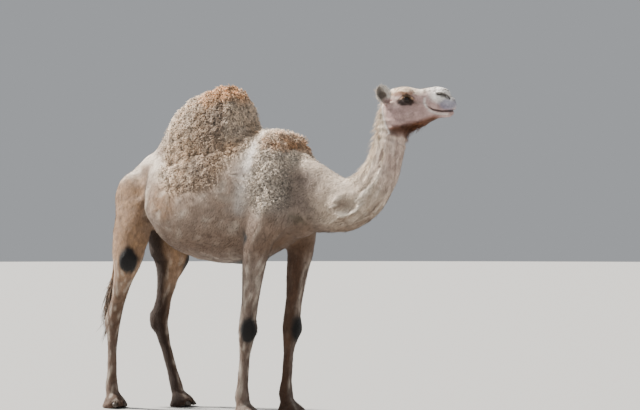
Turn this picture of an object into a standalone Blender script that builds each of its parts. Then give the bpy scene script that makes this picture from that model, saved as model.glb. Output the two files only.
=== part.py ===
"""A dromedary camel, life-size, standing with its head raised and turned a little to its left.

Everything is in metres. +X is the way the body faces, +Y is the camel's left and +Z is up. The floor is
z = 0. The flesh is lofted from named stations, fused into one skin and then parted with thin cuts into the
pieces that a person would name. Each loft runs along a spine: a station gives how far the surface stands
off the spine on its dorsal side and on its ventral side (front and back on a leg), and its half width.
"""

import math

import bmesh
import bpy
import numpy as np
from mathutils import Matrix, Vector

# driving sizes
GAP = 0.0004  # clear space left at every cut
VOXEL = 0.0065  # grid on which the lofts are fused
FLESH_TRIANGLES = 3700
RING_POINTS = 36
STEPS = 6  # rings laid between two stations
HEAD_THINNING = 0.80  # share of the thinning that the head takes
FOOT_THINNING = 0.92
FINE_ROUNDS = 5  # smoothing everywhere
HEAD_ROUNDS = 9
BLEND_ROUNDS = 80  # more smoothing where the limbs run into the trunk
EYE_SEGMENTS = 14
NAIL_SEGMENTS = 10
REGION_SEGMENTS = 12
EAR_RINGS = 9
EAR_POINTS = 7
LEG_CUT = 0.93  # height at which all four legs are parted from what hangs over them
CANNON_DROP = 0.03  # the cannon is parted this far below the knee or the hock

HEAD_ORIGIN = Vector((1.290, 0.110, 1.930))  # back of the skull, at the height of the mouth's corner
HEAD_YAW = math.radians(18.0)  # towards the left
EYE = Vector((0.168, 0.0630, 0.028))  # centre of the left eyeball, from HEAD_ORIGIN
EYE_RADIUS = 0.0245
EAR_ROOT = Vector((0.046, 0.074, 0.008))
EAR_AXIS = Vector((-0.24, 0.42, 0.87)).normalized()  # from the left ear's root to its tip
EAR_LENGTH = 0.122
EAR_WIDTH = 0.086
EAR_THICKNESS = 0.007
EAR_OPENING = Vector((0.42, 0.90, 0.0))  # the way the left ear's cup opens
EAR_STALK = 0.36  # width of the ear at its root, as a share of its full width
EAR_FULL_AT = 1.9  # full width and flare are reached at one over these shares of its length
EAR_FLARED_AT = 1.6
EAR_TIP = 3.4  # how suddenly the tip closes
EAR_RIM = 0.004  # half width left at the very tip
EAR_STALK_CURL = 165.0  # half angle of the curl in degrees: a closed stalk that opens out
EAR_BLADE_CURL = 70.0
EAR_SEAT = 0.052  # side of the block that cuts the ear's seat flat
NAIL_INSET = 1.15  # the nail's middle behind the toe's front, in nail lengths
NAIL_RADII = Vector((0.026, 0.022, 0.019))
NAIL_SPREAD = 0.036
NAIL_HEIGHT = 0.0260
HIND_TOE_OUT = math.radians(14.0)
FORE_TOE_OUT = math.radians(4.0)

# trunk, hump, neck, tail: (x, y, z, dorsal, ventral, half width)
TRUNK = [
    (-0.808, 0.0, 1.39, 0.050, 0.055, 0.060),
    (-0.768, 0.0, 1.37, 0.115, 0.130, 0.116),
    (-0.690, 0.0, 1.35, 0.212, 0.185, 0.180),
    (-0.560, 0.0, 1.35, 0.312, 0.160, 0.190),
    (-0.420, 0.0, 1.36, 0.372, 0.160, 0.215),
    (-0.330, 0.0, 1.36, 0.385, 0.198, 0.290),
    (-0.240, 0.0, 1.35, 0.385, 0.258, 0.335),
    (-0.080, 0.0, 1.31, 0.440, 0.305, 0.370),
    (0.100, 0.0, 1.30, 0.470, 0.333, 0.366),
    (0.280, 0.0, 1.31, 0.490, 0.340, 0.328),
    (0.430, 0.0, 1.33, 0.480, 0.315, 0.275),
    (0.580, 0.0, 1.35, 0.420, 0.275, 0.230),
    (0.700, 0.0, 1.36, 0.310, 0.220, 0.190),
    (0.800, 0.0, 1.36, 0.220, 0.180, 0.130),
]
HUMP = [
    (-0.430, 0.0, 1.60, 0.090, 0.060, 0.080),
    (-0.365, 0.0, 1.62, 0.178, 0.080, 0.138),
    (-0.285, 0.0, 1.62, 0.292, 0.100, 0.192),
    (-0.160, 0.0, 1.62, 0.408, 0.120, 0.240),
    (0.000, 0.0, 1.62, 0.470, 0.120, 0.250),
    (0.120, 0.0, 1.62, 0.497, 0.120, 0.243),
    (0.225, 0.0, 1.62, 0.480, 0.110, 0.225),
    (0.310, 0.0, 1.62, 0.405, 0.100, 0.178),
    (0.375, 0.0, 1.63, 0.270, 0.090, 0.128),
    (0.430, 0.0, 1.65, 0.150, 0.080, 0.085),
]
NECK = [
    (0.560, 0.0, 1.430, 0.250, 0.240, 0.150),
    (0.700, 0.0, 1.425, 0.240, 0.260, 0.165),
    (0.800, 0.0, 1.405, 0.215, 0.258, 0.158),
    (0.900, 0.0, 1.372, 0.198, 0.226, 0.140),
    (1.000, 0.0, 1.345, 0.178, 0.192, 0.120),
    (1.110, 0.010, 1.345, 0.160, 0.172, 0.106),
    (1.220, 0.030, 1.400, 0.143, 0.152, 0.097),
    (1.302, 0.055, 1.510, 0.122, 0.126, 0.089),
    (1.342, 0.080, 1.645, 0.108, 0.112, 0.081),
    (1.358, 0.100, 1.775, 0.104, 0.107, 0.076),
    (1.364, 0.110, 1.875, 0.101, 0.104, 0.070),
    (1.362, 0.118, 1.945, 0.074, 0.085, 0.058),
]
TAIL = [
    (-0.725, 0.0, 1.500, 0.040, 0.050, 0.040),
    (-0.798, 0.0, 1.440, 0.036, 0.036, 0.034),
    (-0.842, 0.0, 1.300, 0.026, 0.026, 0.026),
    (-0.862, -0.010, 1.100, 0.020, 0.020, 0.020),
    (-0.877, -0.022, 0.900, 0.018, 0.018, 0.018),
    (-0.892, -0.036, 0.760, 0.025, 0.025, 0.023),
    (-0.900, -0.046, 0.660, 0.023, 0.023, 0.021),
    (-0.905, -0.052, 0.570, 0.006, 0.006, 0.006),
]
# head: (along, dorsal, ventral, half width, squareness) from HEAD_ORIGIN
HEAD = [
    (-0.012, 0.035, 0.060, 0.035, 2.0),
    (0.020, 0.075, 0.110, 0.058, 2.1),
    (0.060, 0.098, 0.140, 0.068, 2.2),
    (0.105, 0.113, 0.152, 0.073, 2.3),
    (0.150, 0.115, 0.154, 0.073, 2.3),
    (0.190, 0.107, 0.152, 0.064, 2.2),
    (0.235, 0.097, 0.140, 0.055, 2.2),
    (0.285, 0.104, 0.116, 0.048, 2.3),
    (0.335, 0.110, 0.090, 0.046, 2.4),
    (0.375, 0.102, 0.078, 0.044, 2.4),
    (0.402, 0.074, 0.070, 0.042, 2.3),
    (0.426, 0.044, 0.056, 0.036, 2.2),
    (0.447, 0.020, 0.036, 0.027, 2.1),
    (0.458, 0.000, 0.018, 0.014, 2.0),
]
# legs: joints from the top down, then the build as (bone, share of its length, front, back, half width)
FORE_JOINTS = {
    "right": [
        (0.62, -0.135, 1.44),
        (0.550, -0.200, 1.08),
        (0.446, -0.172, 0.56),
        (0.404, -0.168, 0.15),
        (0.434, -0.168, 0),
    ],
    "left": [
        (0.62, 0.135, 1.44),
        (0.578, 0.200, 1.08),
        (0.518, 0.172, 0.56),
        (0.484, 0.166, 0.15),
        (0.516, 0.166, 0),
    ],
}
HIND_JOINTS = {
    "right": [
        (-0.56, -0.140, 1.36),
        (-0.550, -0.215, 0.99),
        (-0.738, -0.168, 0.56),
        (-0.748, -0.165, 0.15),
        (-0.715, -0.170, 0),
    ],
    "left": [
        (-0.56, 0.140, 1.36),
        (-0.562, 0.215, 0.99),
        (-0.632, 0.170, 0.56),
        (-0.470, 0.162, 0.15),
        (-0.420, 0.166, 0),
    ],
}
FORE_BUILD = [
    (0, 0.10, 0.130, 0.130, 0.080),
    (0, 0.60, 0.125, 0.120, 0.090),
    (1, 0.00, 0.100, 0.102, 0.080),
    (1, 0.28, 0.074, 0.078, 0.066),
    (1, 0.62, 0.056, 0.058, 0.054),
    (1, 0.85, 0.054, 0.055, 0.054),
    (2, 0.00, 0.066, 0.052, 0.060),
    (2, 0.16, 0.048, 0.045, 0.050),
    (2, 0.42, 0.033, 0.036, 0.036),
    (2, 0.80, 0.035, 0.038, 0.038),
    (3, 0.00, 0.046, 0.048, 0.047),
    (3, 0.35, 0.046, 0.046, 0.050),
    (3, 0.62, 0.084, 0.064, 0.074),
    (3, 0.85, 0.114, 0.090, 0.094),
    (3, 1.03, 0.110, 0.084, 0.088),
]
HIND_BUILD = [
    (0, 0.00, 0.200, 0.160, 0.105),
    (0, 0.45, 0.180, 0.165, 0.112),
    (0, 0.80, 0.128, 0.156, 0.102),
    (1, 0.00, 0.108, 0.146, 0.090),
    (1, 0.28, 0.078, 0.086, 0.060),
    (1, 0.60, 0.058, 0.062, 0.044),
    (1, 0.84, 0.060, 0.068, 0.043),
    (2, 0.00, 0.066, 0.078, 0.046),
    (2, 0.16, 0.052, 0.052, 0.038),
    (2, 0.42, 0.038, 0.042, 0.031),
    (2, 0.80, 0.037, 0.041, 0.034),
    (3, 0.00, 0.044, 0.046, 0.043),
    (3, 0.35, 0.043, 0.043, 0.046),
    (3, 0.62, 0.074, 0.058, 0.066),
    (3, 0.85, 0.098, 0.080, 0.082),
    (3, 1.03, 0.095, 0.075, 0.077),
]
# muscle, bone and pad masses: (x, y, z), radii, pitch in degrees; a mass with y is made on both sides
MASSES = {
    "withers": ((0.535, 0.050, 1.715), (0.145, 0.095, 0.112), 6),
    "shoulder_blade": ((0.615, 0.125, 1.560), (0.140, 0.090, 0.240), -10),
    "shoulder_point": ((0.740, 0.105, 1.300), (0.090, 0.075, 0.140), -10),
    "upper_arm": ((0.600, 0.165, 1.250), (0.150, 0.085, 0.200), 25),
    "paunch": ((0.010, 0.080, 1.245), (0.345, 0.285, 0.235), 12),
    "haunch": ((-0.550, 0.145, 1.385), (0.175, 0.105, 0.200), 0),
    "hip_bone": ((-0.430, 0.125, 1.590), (0.075, 0.060, 0.055), 20),
    "seat_bone": ((-0.735, 0.065, 1.410), (0.055, 0.045, 0.080), 0),
    "chest_pad": ((0.350, 0.0, 0.992), (0.105, 0.080, 0.048), 0),
    "breast": ((0.730, 0.0, 1.230), (0.120, 0.105, 0.110), 0),
}
HEAD_MASSES = {
    "brow": ((0.160, 0.058, 0.080), (0.046, 0.025, 0.024), 6),
    "cheek": ((0.125, 0.042, -0.055), (0.090, 0.034, 0.086), 0),
    "upper_lip": ((0.410, 0.018, 0.002), (0.048, 0.028, 0.044), 20),
    "lower_lip": ((0.385, 0.0, -0.060), (0.060, 0.034, 0.022), 0),
    "nostril_wing": ((0.374, 0.022, 0.068), (0.046, 0.024, 0.036), 15),
    "lid": ((0.168, 0.052, 0.028), (0.036, 0.031, 0.032), 0),
    "ear_mount": ((0.050, 0.060, -0.002), (0.032, 0.032, 0.036), 0),
}
# masses on the legs: which leg table, joint, offset from it, radii
LEG_MASSES = {
    "knee_pad": ("fore", 2, (0.030, 0.0, -0.004), (0.042, 0.046, 0.060)),
    "elbow_point": ("fore", 1, (-0.085, 0.0, 0.060), (0.035, 0.032, 0.060)),
    "stifle_pad": ("hind", 1, (0.072, 0.0, 0.010), (0.050, 0.055, 0.070)),
    "hock_point": ("hind", 2, (-0.052, 0.0, 0.035), (0.028, 0.022, 0.050)),
}
# where the skin is parted: (point, normal) planes up the neck, then ellipsoids as (middle, radii)
NECK_CUTS = {
    "base": ((0.900, 0.0, 1.400), (1.0, 0.0, -0.05)),
    "bend": ((1.225, 0.030, 1.405), (0.62, 0.10, 0.78)),
    "nape": ((1.318, 0.119, 1.860), (0.78, 0.25, 0.57)),
}
HUMP_REGION = ((0.01, 0.0, 2.02), (0.52, 0.50, 0.32))
TAIL_REGION = ((-0.856, -0.004, 1.12), (0.056, 0.062, 0.345))
TUFT_TOP = 0.800
UPPER_LEGS = [
    ("shoulder", (0.54, 0.22, 1.10), (0.240, 0.130, 0.420)),
    ("thigh", (-0.60, 0.21, 1.17), (0.230, 0.130, 0.420)),
]
# colours: by the start of a node's name, first match
COLOURS = {
    "eye": ((0.020, 0.012, 0.008), 0.15),
    "fore_nail": ((0.100, 0.085, 0.070), 0.50),
    "hind_nail": ((0.100, 0.085, 0.070), 0.50),
    "hump": ((0.420, 0.290, 0.180), 0.90),
    "tail_tuft": ((0.060, 0.040, 0.028), 0.90),
    "ear": ((0.400, 0.310, 0.230), 0.85),
    "head": ((0.560, 0.480, 0.390), 0.85),
    "neck": ((0.560, 0.480, 0.390), 0.88),
    "": ((0.480, 0.390, 0.290), 0.88),
}
# furrows pressed into the skin: points from HEAD_ORIGIN, depth, half breadth
FURROWS = {
    "mouth": (
        [(0.286, -0.010), (0.325, -0.034), (0.378, -0.044), (0.427, -0.042), (0.462, -0.036)],
        0.0050,
        0.0070,
    ),
    "nostril": ([(0.350, 0.058), (0.378, 0.052), (0.412, 0.036)], 0.0090, 0.0080),
}
# each fades in from its first bound to its second
TRUNK_ABOVE = (0.99, 1.14)  # height
TRUNK_BEHIND = (1.10, 0.92)  # distance forwards: the neck lies beyond
FOLD_FRONT = (-0.24, -0.31)  # the fold of skin before the thigh
FOLD_BACK = (-0.48, -0.42)
FOLD_BELOW = (1.52, 1.36)
FOLD_KEPT = 0.88  # share of the smoothing that the fold is spared
HEAD_BEYOND = (1.26, 1.34)
HEAD_ABOVE = (1.70, 1.78)
FURROW_FRONT = 0.2  # furrows lie forward of this on the head, and within the two reaches below of its axis
FURROW_RISE = 0.2
FURROW_SIDE = 0.1
MIDLINE_FADE = 0.02  # furrows fade out this near to the middle of the face
FINE_HEAD = Vector((0.03, 1.20, 1.75))  # the head's fine mesh: along it, then beyond and above these
FINE_FOOT = 0.10  # height of the fine mesh on the feet


def spline(table, steps):
    """Catmull-Rom rows through the rows of a table, with this many steps between two rows."""
    rows = np.array(table, float)
    padded = np.vstack([2 * rows[0] - rows[1], rows, 2 * rows[-1] - rows[-2]])
    found = []
    for a, b, c, d in zip(padded, padded[1:], padded[2:], padded[3:]):
        for t in np.arange(steps) / steps:
            bend, twist = 2 * a - 5 * b + 4 * c - d, 3 * b - a - 3 * c + d
            found.append(0.5 * (2 * b + (c - a) * t + bend * t**2 + twist * t**3))
    return np.array([*found, rows[-1]])


def link(name, mesh):
    obj = bpy.data.objects.new(name, mesh)
    bpy.context.scene.collection.objects.link(obj)
    return obj


def loft(name, centres, build, side_at, squareness=None):
    """A closed tube along centres. build holds dorsal, ventral and half width, side_at the sideways axis."""
    bm = bmesh.new()
    rings = []
    for i, centre in enumerate(centres):
        before, after = centres[max(i - 1, 0)], centres[min(i + 1, len(centres) - 1)]
        forward = Vector(after - before).normalized()
        side = side_at(i)
        side = (side - forward * side.dot(forward)).normalized()
        dorsal = forward.cross(side)
        up, down, half = build[i]
        power = 2 / (squareness[i] if squareness is not None else 2.1)
        ring = []
        for k in range(RING_POINTS):
            angle = math.tau * k / RING_POINTS
            c, s = math.cos(angle), math.sin(angle)
            across = half * math.copysign(abs(c) ** power, c)
            lift = (up if s > 0 else down) * math.copysign(abs(s) ** power, s)
            ring.append(bm.verts.new(Vector(centre) + side * across + dorsal * lift))
        rings.append(ring)
    for ring, following in zip(rings, rings[1:]):
        for k in range(RING_POINTS):
            n = (k + 1) % RING_POINTS
            bm.faces.new((ring[k], ring[n], following[n], following[k]))
    bm.faces.new(rings[0][::-1])
    bm.faces.new(rings[-1])
    bmesh.ops.recalc_face_normals(bm, faces=bm.faces)
    mesh = bpy.data.meshes.new(name)
    bm.to_mesh(mesh)
    bm.free()
    return link(name, mesh)


def body_loft(name, table):
    rows = spline(table, STEPS)
    return loft(name, rows[:, :3], rows[:, 3:], lambda i: Vector((0, 1, 0)))


def neck_loft():
    """The sideways axis turns from the body's to the head's along the neck."""
    rows = spline(NECK, STEPS)
    last = len(rows) - 1

    def side(i):
        yaw = HEAD_YAW * (i / last) ** 2
        return Vector((-math.sin(yaw), math.cos(yaw), 0))

    return loft("neck", rows[:, :3], rows[:, 3:], side)


def leg_loft(name, joints, build, yaw):
    joints = [Vector(joint) for joint in joints]
    table = [(*joints[bone].lerp(joints[bone + 1], share), *sizes) for bone, share, *sizes in build]
    rows = spline(table, STEPS)
    return loft(name, rows[:, :3], rows[:, 3:], lambda i: Vector((-math.sin(yaw), math.cos(yaw), 0)))


def head_frame():
    return Matrix.Translation(HEAD_ORIGIN) @ Matrix.Rotation(HEAD_YAW, 4, "Z")


def head_loft():
    rows = spline(HEAD, STEPS)
    centres = np.zeros((len(rows), 3))
    centres[:, 0] = rows[:, 0]
    obj = loft("head", centres, rows[:, 1:4], lambda i: Vector((0, 1, 0)), rows[:, 4])
    obj.data.transform(head_frame())
    return obj


def ellipsoid(name, centre, radii, pitch=0.0, frame=Matrix.Identity(4), grow=0.0, segments=24):
    bm = bmesh.new()
    bmesh.ops.create_uvsphere(bm, u_segments=segments, v_segments=segments // 2, radius=1)
    size = Matrix.Diagonal([r + grow for r in radii]).to_4x4()
    place = Matrix.Translation(Vector(centre)) @ Matrix.Rotation(math.radians(pitch), 4, "Y")
    bm.transform(frame @ place @ size)
    mesh = bpy.data.meshes.new(name)
    bm.to_mesh(mesh)
    bm.free()
    return link(name, mesh)


def masses(table, frame=Matrix.Identity(4)):
    made = []
    for name, (centre, radii, pitch) in table.items():
        for sign in (1, -1) if centre[1] else (1,):
            place = (centre[0], sign * centre[1], centre[2])
            made.append(ellipsoid(name, place, radii, pitch, frame))
    return made


def block(name, centre, size, rotation):
    bm = bmesh.new()
    bmesh.ops.create_cube(bm, size=1)
    scale = Matrix.Diagonal(size).to_4x4()
    bm.transform(Matrix.Translation(Vector(centre)) @ rotation.to_4x4() @ scale)
    mesh = bpy.data.meshes.new(name)
    bm.to_mesh(mesh)
    bm.free()
    return link(name, mesh)


def joined(parts, name):
    """One object that holds the meshes of several, not yet fused."""
    bm = bmesh.new()
    for part in parts:
        bm.from_mesh(part.data)
        bpy.data.objects.remove(part)
    mesh = bpy.data.meshes.new(name)
    bm.to_mesh(mesh)
    bm.free()
    return link(name, mesh)


def applied(obj):
    """Turns the object's modifiers into its mesh."""
    bpy.context.view_layer.update()
    mesh = bpy.data.meshes.new_from_object(obj.evaluated_get(bpy.context.evaluated_depsgraph_get()))
    obj.modifiers.clear()
    obj.data = mesh
    return obj


def boolean(obj, cutter, operation):
    modifier = obj.modifiers.new("cut", "BOOLEAN")
    modifier.object = cutter
    modifier.operation = operation
    applied(obj)


def fused(parts):
    """The lofts and masses as one closed skin."""
    obj = joined(parts, "trunk")
    remesh = obj.modifiers.new("fuse", "REMESH")
    remesh.mode = "VOXEL"
    remesh.voxel_size = VOXEL
    return applied(obj)


def points_of(obj):
    points = np.empty(len(obj.data.vertices) * 3, np.float32)
    obj.data.vertices.foreach_get("co", points)
    return points.reshape(-1, 3).astype(float)


def set_points(obj, points):
    obj.data.vertices.foreach_set("co", points.astype(np.float32).ravel())
    obj.data.update()


def ramp(values, start, end):
    t = np.clip((values - start) / (end - start), 0, 1)
    return t * t * (3 - 2 * t)


def smoothed(obj, rounds, share):
    """Moves each point towards the middle of its neighbours, by its own share."""
    ends = np.empty(len(obj.data.edges) * 2, np.int32)
    obj.data.edges.foreach_get("vertices", ends)
    a, b = ends.reshape(-1, 2).T
    points = points_of(obj)
    count = len(points)
    degree = np.bincount(a, minlength=count) + np.bincount(b, minlength=count)
    for _ in range(rounds):
        for axis in range(3):
            column = points[:, axis]
            total = np.bincount(a, column[b], count) + np.bincount(b, column[a], count)
            points[:, axis] = column + share * (total / degree - column)
    set_points(obj, points)


def blended(obj):
    """Muscle runs into muscle on the trunk. The fold by the thigh, legs, neck and head keep their form."""
    x, y, z = points_of(obj).T
    trunk = ramp(z, *TRUNK_ABOVE) * ramp(x, *TRUNK_BEHIND)
    fold = ramp(x, *FOLD_BACK) * ramp(x, *FOLD_FRONT) * ramp(z, *FOLD_BELOW)
    smoothed(obj, BLEND_ROUNDS, 0.5 * trunk * (1 - FOLD_KEPT * fold))
    smoothed(obj, FINE_ROUNDS, 0.5)
    smoothed(obj, HEAD_ROUNDS, 0.5 * ramp(x, *HEAD_BEYOND) * ramp(z, *HEAD_ABOVE))


def furrowed(obj):
    """Presses the mouth and the nostrils into both sides of the head."""
    frame = head_frame()
    points = points_of(obj)
    local = points @ np.array(frame.to_3x3()) - np.array(frame.to_3x3().transposed() @ HEAD_ORIGIN)
    along, across, rise = local.T
    muzzle = (along > FURROW_FRONT) & (np.abs(rise) < FURROW_RISE) & (np.abs(across) < FURROW_SIDE)
    near = np.flatnonzero(muzzle)
    inward = np.array(frame.to_3x3() @ Vector((0, 1, 0)))
    for track, depth, breadth in FURROWS.values():
        row = local[near]
        reach = np.full(len(row), 1.0)
        for (x0, z0), (x1, z1) in zip(track, track[1:]):
            leg = np.array([x1 - x0, z1 - z0])
            offset = row[:, [0, 2]] - (x0, z0)
            t = np.clip(offset @ leg / (leg @ leg), 0, 1)
            reach = np.minimum(reach, np.linalg.norm(offset - t[:, None] * leg, axis=1))
        push = depth * np.exp(-((reach / breadth) ** 2)) * np.clip(np.abs(row[:, 1]) / MIDLINE_FADE, 0, 1)
        points[near] -= (np.sign(row[:, 1]) * push)[:, None] * inward
    set_points(obj, points)


def thinned(obj, triangles):
    """Fewer triangles, with the most kept on the head and the feet."""
    frame = head_frame().inverted()
    group = obj.vertex_groups.new(name="thin")
    keep = {1.0: [], HEAD_THINNING: [], FOOT_THINNING: []}
    for vertex in obj.data.vertices:
        beyond = (frame @ vertex.co).x > FINE_HEAD.x
        on_head = beyond and vertex.co.x > FINE_HEAD.y and vertex.co.z > FINE_HEAD.z
        on_foot = vertex.co.z < FINE_FOOT
        keep[HEAD_THINNING if on_head else FOOT_THINNING if on_foot else 1.0].append(vertex.index)
    for weight, indices in keep.items():
        group.add(indices, weight, "REPLACE")
    decimate = obj.modifiers.new("thin", "DECIMATE")
    decimate.ratio = triangles / (2 * len(obj.data.polygons))
    decimate.vertex_group = group.name
    applied(obj)
    obj.vertex_groups.clear()


def sliced(obj, point, normal):
    """Cuts away what lies on the normal's side of a plane and closes the cut."""
    bm = bmesh.new()
    bm.from_mesh(obj.data)
    everything = [*bm.verts, *bm.edges, *bm.faces]
    bmesh.ops.bisect_plane(
        bm, geom=everything, dist=1e-6, plane_co=point, plane_no=normal, clear_outer=True
    )
    rims = [edge for edge in bm.edges if edge.is_boundary]
    caps = bmesh.ops.holes_fill(bm, edges=rims, sides=0)["faces"]
    bmesh.ops.triangulate(bm, faces=caps)
    bm.to_mesh(obj.data)
    bm.free()


def parted(source, name, point, normal):
    """Cuts source by a plane. What lies on the normal's side becomes a new node, GAP away from the rest."""
    point, normal = Vector(point), Vector(normal).normalized()
    piece = link(name, source.data.copy())
    sliced(piece, point + normal * GAP / 2, -normal)
    sliced(source, point - normal * GAP / 2, normal)
    return piece


def carved(source, name, centre, radii):
    """What lies in an ellipsoid becomes a new node, GAP away from the rest."""
    piece = link(name, source.data.copy())
    for obj, grow, operation in ((piece, 0.0, "INTERSECT"), (source, GAP, "DIFFERENCE")):
        region = ellipsoid("region", centre, radii, grow=grow, segments=REGION_SEGMENTS)
        boolean(obj, region, operation)
        bpy.data.objects.remove(region)
    for obj in (piece, source):
        drop_crumbs(obj)
    return piece


def drop_crumbs(obj):
    """Keeps the largest body of a mesh, where a cut has shaved loose slivers off beside it."""
    bm = bmesh.new()
    bm.from_mesh(obj.data)
    unseen, bodies = set(bm.verts), []
    while unseen:
        body, ahead = set(), [next(iter(unseen))]
        while ahead:
            vertex = ahead.pop()
            if vertex not in body:
                body.add(vertex)
                ahead += [edge.other_vert(vertex) for edge in vertex.link_edges]
        unseen -= body
        bodies.append(body)
    bodies.sort(key=len)
    for body in bodies[:-1]:
        bmesh.ops.delete(bm, geom=list(body), context="VERTS")
    bm.to_mesh(obj.data)
    bm.free()


def loose(source, landmarks):
    """Separates the bodies of a mesh. Each is named for the landmark nearest to its middle."""
    bpy.context.view_layer.objects.active = source
    source.select_set(True)
    bpy.ops.mesh.separate(type="LOOSE")
    made = {}
    for obj in list(bpy.context.selected_objects):
        obj.select_set(False)
        middle = Vector(points_of(obj).mean(axis=0))
        obj.name = min(landmarks, key=lambda name: (Vector(landmarks[name]) - middle).length)
        made[obj.name] = obj
    return made


def flesh_parts():
    parts = [body_loft("trunk", TRUNK), body_loft("hump", HUMP), body_loft("tail", TAIL)]
    parts += [neck_loft(), head_loft()]
    parts += masses(MASSES) + masses(HEAD_MASSES, head_frame())
    for side, sign in (("right", -1), ("left", 1)):
        parts.append(leg_loft("foreleg", FORE_JOINTS[side], FORE_BUILD, sign * FORE_TOE_OUT))
        parts.append(leg_loft("hindleg", HIND_JOINTS[side], HIND_BUILD, sign * HIND_TOE_OUT))
        for name, (leg, joint, offset, radii) in LEG_MASSES.items():
            joints, yaw = (FORE_JOINTS, FORE_TOE_OUT) if leg == "fore" else (HIND_JOINTS, HIND_TOE_OUT)
            frame = Matrix.Translation(joints[side][joint]) @ Matrix.Rotation(sign * yaw, 4, "Z")
            parts.append(ellipsoid(name, offset, radii, frame=frame))
    return parts


def ear(side, sign):
    """A leaf-shaped cup that opens outwards and a little forwards, on a flat stalk."""
    axis = Vector((EAR_AXIS.x, sign * EAR_AXIS.y, EAR_AXIS.z))
    opening = Vector((EAR_OPENING.x, sign * EAR_OPENING.y, EAR_OPENING.z))
    opening = (opening - axis * opening.dot(axis)).normalized()
    across = axis.cross(opening)
    root = Vector((EAR_ROOT.x, sign * EAR_ROOT.y, EAR_ROOT.z)) + axis * GAP
    bm = bmesh.new()
    rings = []
    for i in range(EAR_RINGS + 1):
        t = i / EAR_RINGS
        swell = EAR_STALK + (1 - EAR_STALK) * math.sin(math.pi / 2 * min(t * EAR_FULL_AT, 1))
        half = EAR_WIDTH / 2 * swell * max(1 - t**EAR_TIP, 0) ** 0.5 + EAR_RIM
        opened = min(t * EAR_FLARED_AT, 1)
        cup = math.radians(EAR_STALK_CURL - (EAR_STALK_CURL - EAR_BLADE_CURL) * opened)
        radius = half / math.sin(min(cup, math.pi / 2))
        thick = EAR_THICKNESS * (1.5 - 0.9 * t)
        ring = []
        for layer, sweep in ((0, 1), (1, -1)):
            r = radius - layer * min(thick, radius * 0.8)
            for k in range(EAR_POINTS):
                angle = sweep * cup * (2 * k / (EAR_POINTS - 1) - 1)
                lean = opening * (-r * math.cos(angle) + radius * 0.55) + across * (r * math.sin(angle))
                ring.append(bm.verts.new(root + axis * (EAR_LENGTH * t) + lean))
        rings.append(ring)
    count = len(rings[0])
    for ring, following in zip(rings, rings[1:]):
        for k in range(count):
            n = (k + 1) % count
            bm.faces.new((ring[k], ring[n], following[n], following[k]))
    bm.faces.new(rings[0][::-1])
    bm.faces.new(rings[-1])
    bmesh.ops.recalc_face_normals(bm, faces=bm.faces)
    bmesh.ops.triangulate(bm, faces=bm.faces)
    bm.transform(head_frame())
    mesh = bpy.data.meshes.new("ear_" + side)
    bm.to_mesh(mesh)
    bm.free()
    return link("ear_" + side, mesh)


def pocketed(host, segments, centre, radii, frame):
    """Hollows the host GAP wider than an ellipsoid that sits in it."""
    cutter = ellipsoid("pocket", centre, radii, frame=frame, grow=GAP, segments=segments)
    boolean(host, cutter, "DIFFERENCE")
    bpy.data.objects.remove(cutter)


def add_eyes(head):
    frame = head_frame()
    for side, sign in (("right", -1), ("left", 1)):
        centre = (EYE.x, sign * EYE.y, EYE.z)
        pocketed(head, EYE_SEGMENTS, centre, (EYE_RADIUS,) * 3, frame)
        ellipsoid("eye_" + side, centre, (EYE_RADIUS,) * 3, frame=frame, segments=EYE_SEGMENTS)


def add_ears(head):
    """Each ear stands on a flat cut across its mount."""
    frame = head_frame()
    for side, sign in (("right", -1), ("left", 1)):
        ear(side, sign)
        axis = Vector((EAR_AXIS.x, sign * EAR_AXIS.y, EAR_AXIS.z))
        root = Vector((EAR_ROOT.x, sign * EAR_ROOT.y, EAR_ROOT.z))
        turn = frame.to_3x3() @ axis.to_track_quat("Z", "Y").to_matrix()
        cutter = block("flat", frame @ (root + axis * EAR_SEAT / 2), (EAR_SEAT,) * 3, turn)
        boolean(head, cutter, "DIFFERENCE")
        bpy.data.objects.remove(cutter)


def add_nails(feet):
    """Two nails at the front of each foot, one on each toe."""
    fore = ("fore", FORE_JOINTS, FORE_TOE_OUT, FORE_BUILD)
    hind = ("hind", HIND_JOINTS, HIND_TOE_OUT, HIND_BUILD)
    for leg, joints, yaw, build in (fore, hind):
        reach = build[-2][2]
        for side, sign in (("right", -1), ("left", 1)):
            frame = Matrix.Translation(joints[side][-1]) @ Matrix.Rotation(sign * yaw, 4, "Z")
            for toe, across in (("outer", sign), ("inner", -sign)):
                centre = (reach - NAIL_RADII.x * NAIL_INSET, across * NAIL_SPREAD, NAIL_HEIGHT)
                pocketed(feet[f"{leg}foot_{side}"], NAIL_SEGMENTS, centre, NAIL_RADII, frame)
                name = f"{leg}_nail_{side}_{toe}"
                ellipsoid(name, centre, NAIL_RADII, frame=frame, segments=NAIL_SEGMENTS)


def leg_landmarks():
    marks = {"tail_lower": TAIL[-2][:3]}
    for side in ("right", "left"):
        marks["forearm_" + side] = FORE_JOINTS[side][2]
        marks["shank_" + side] = HIND_JOINTS[side][2]
    return marks


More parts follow.
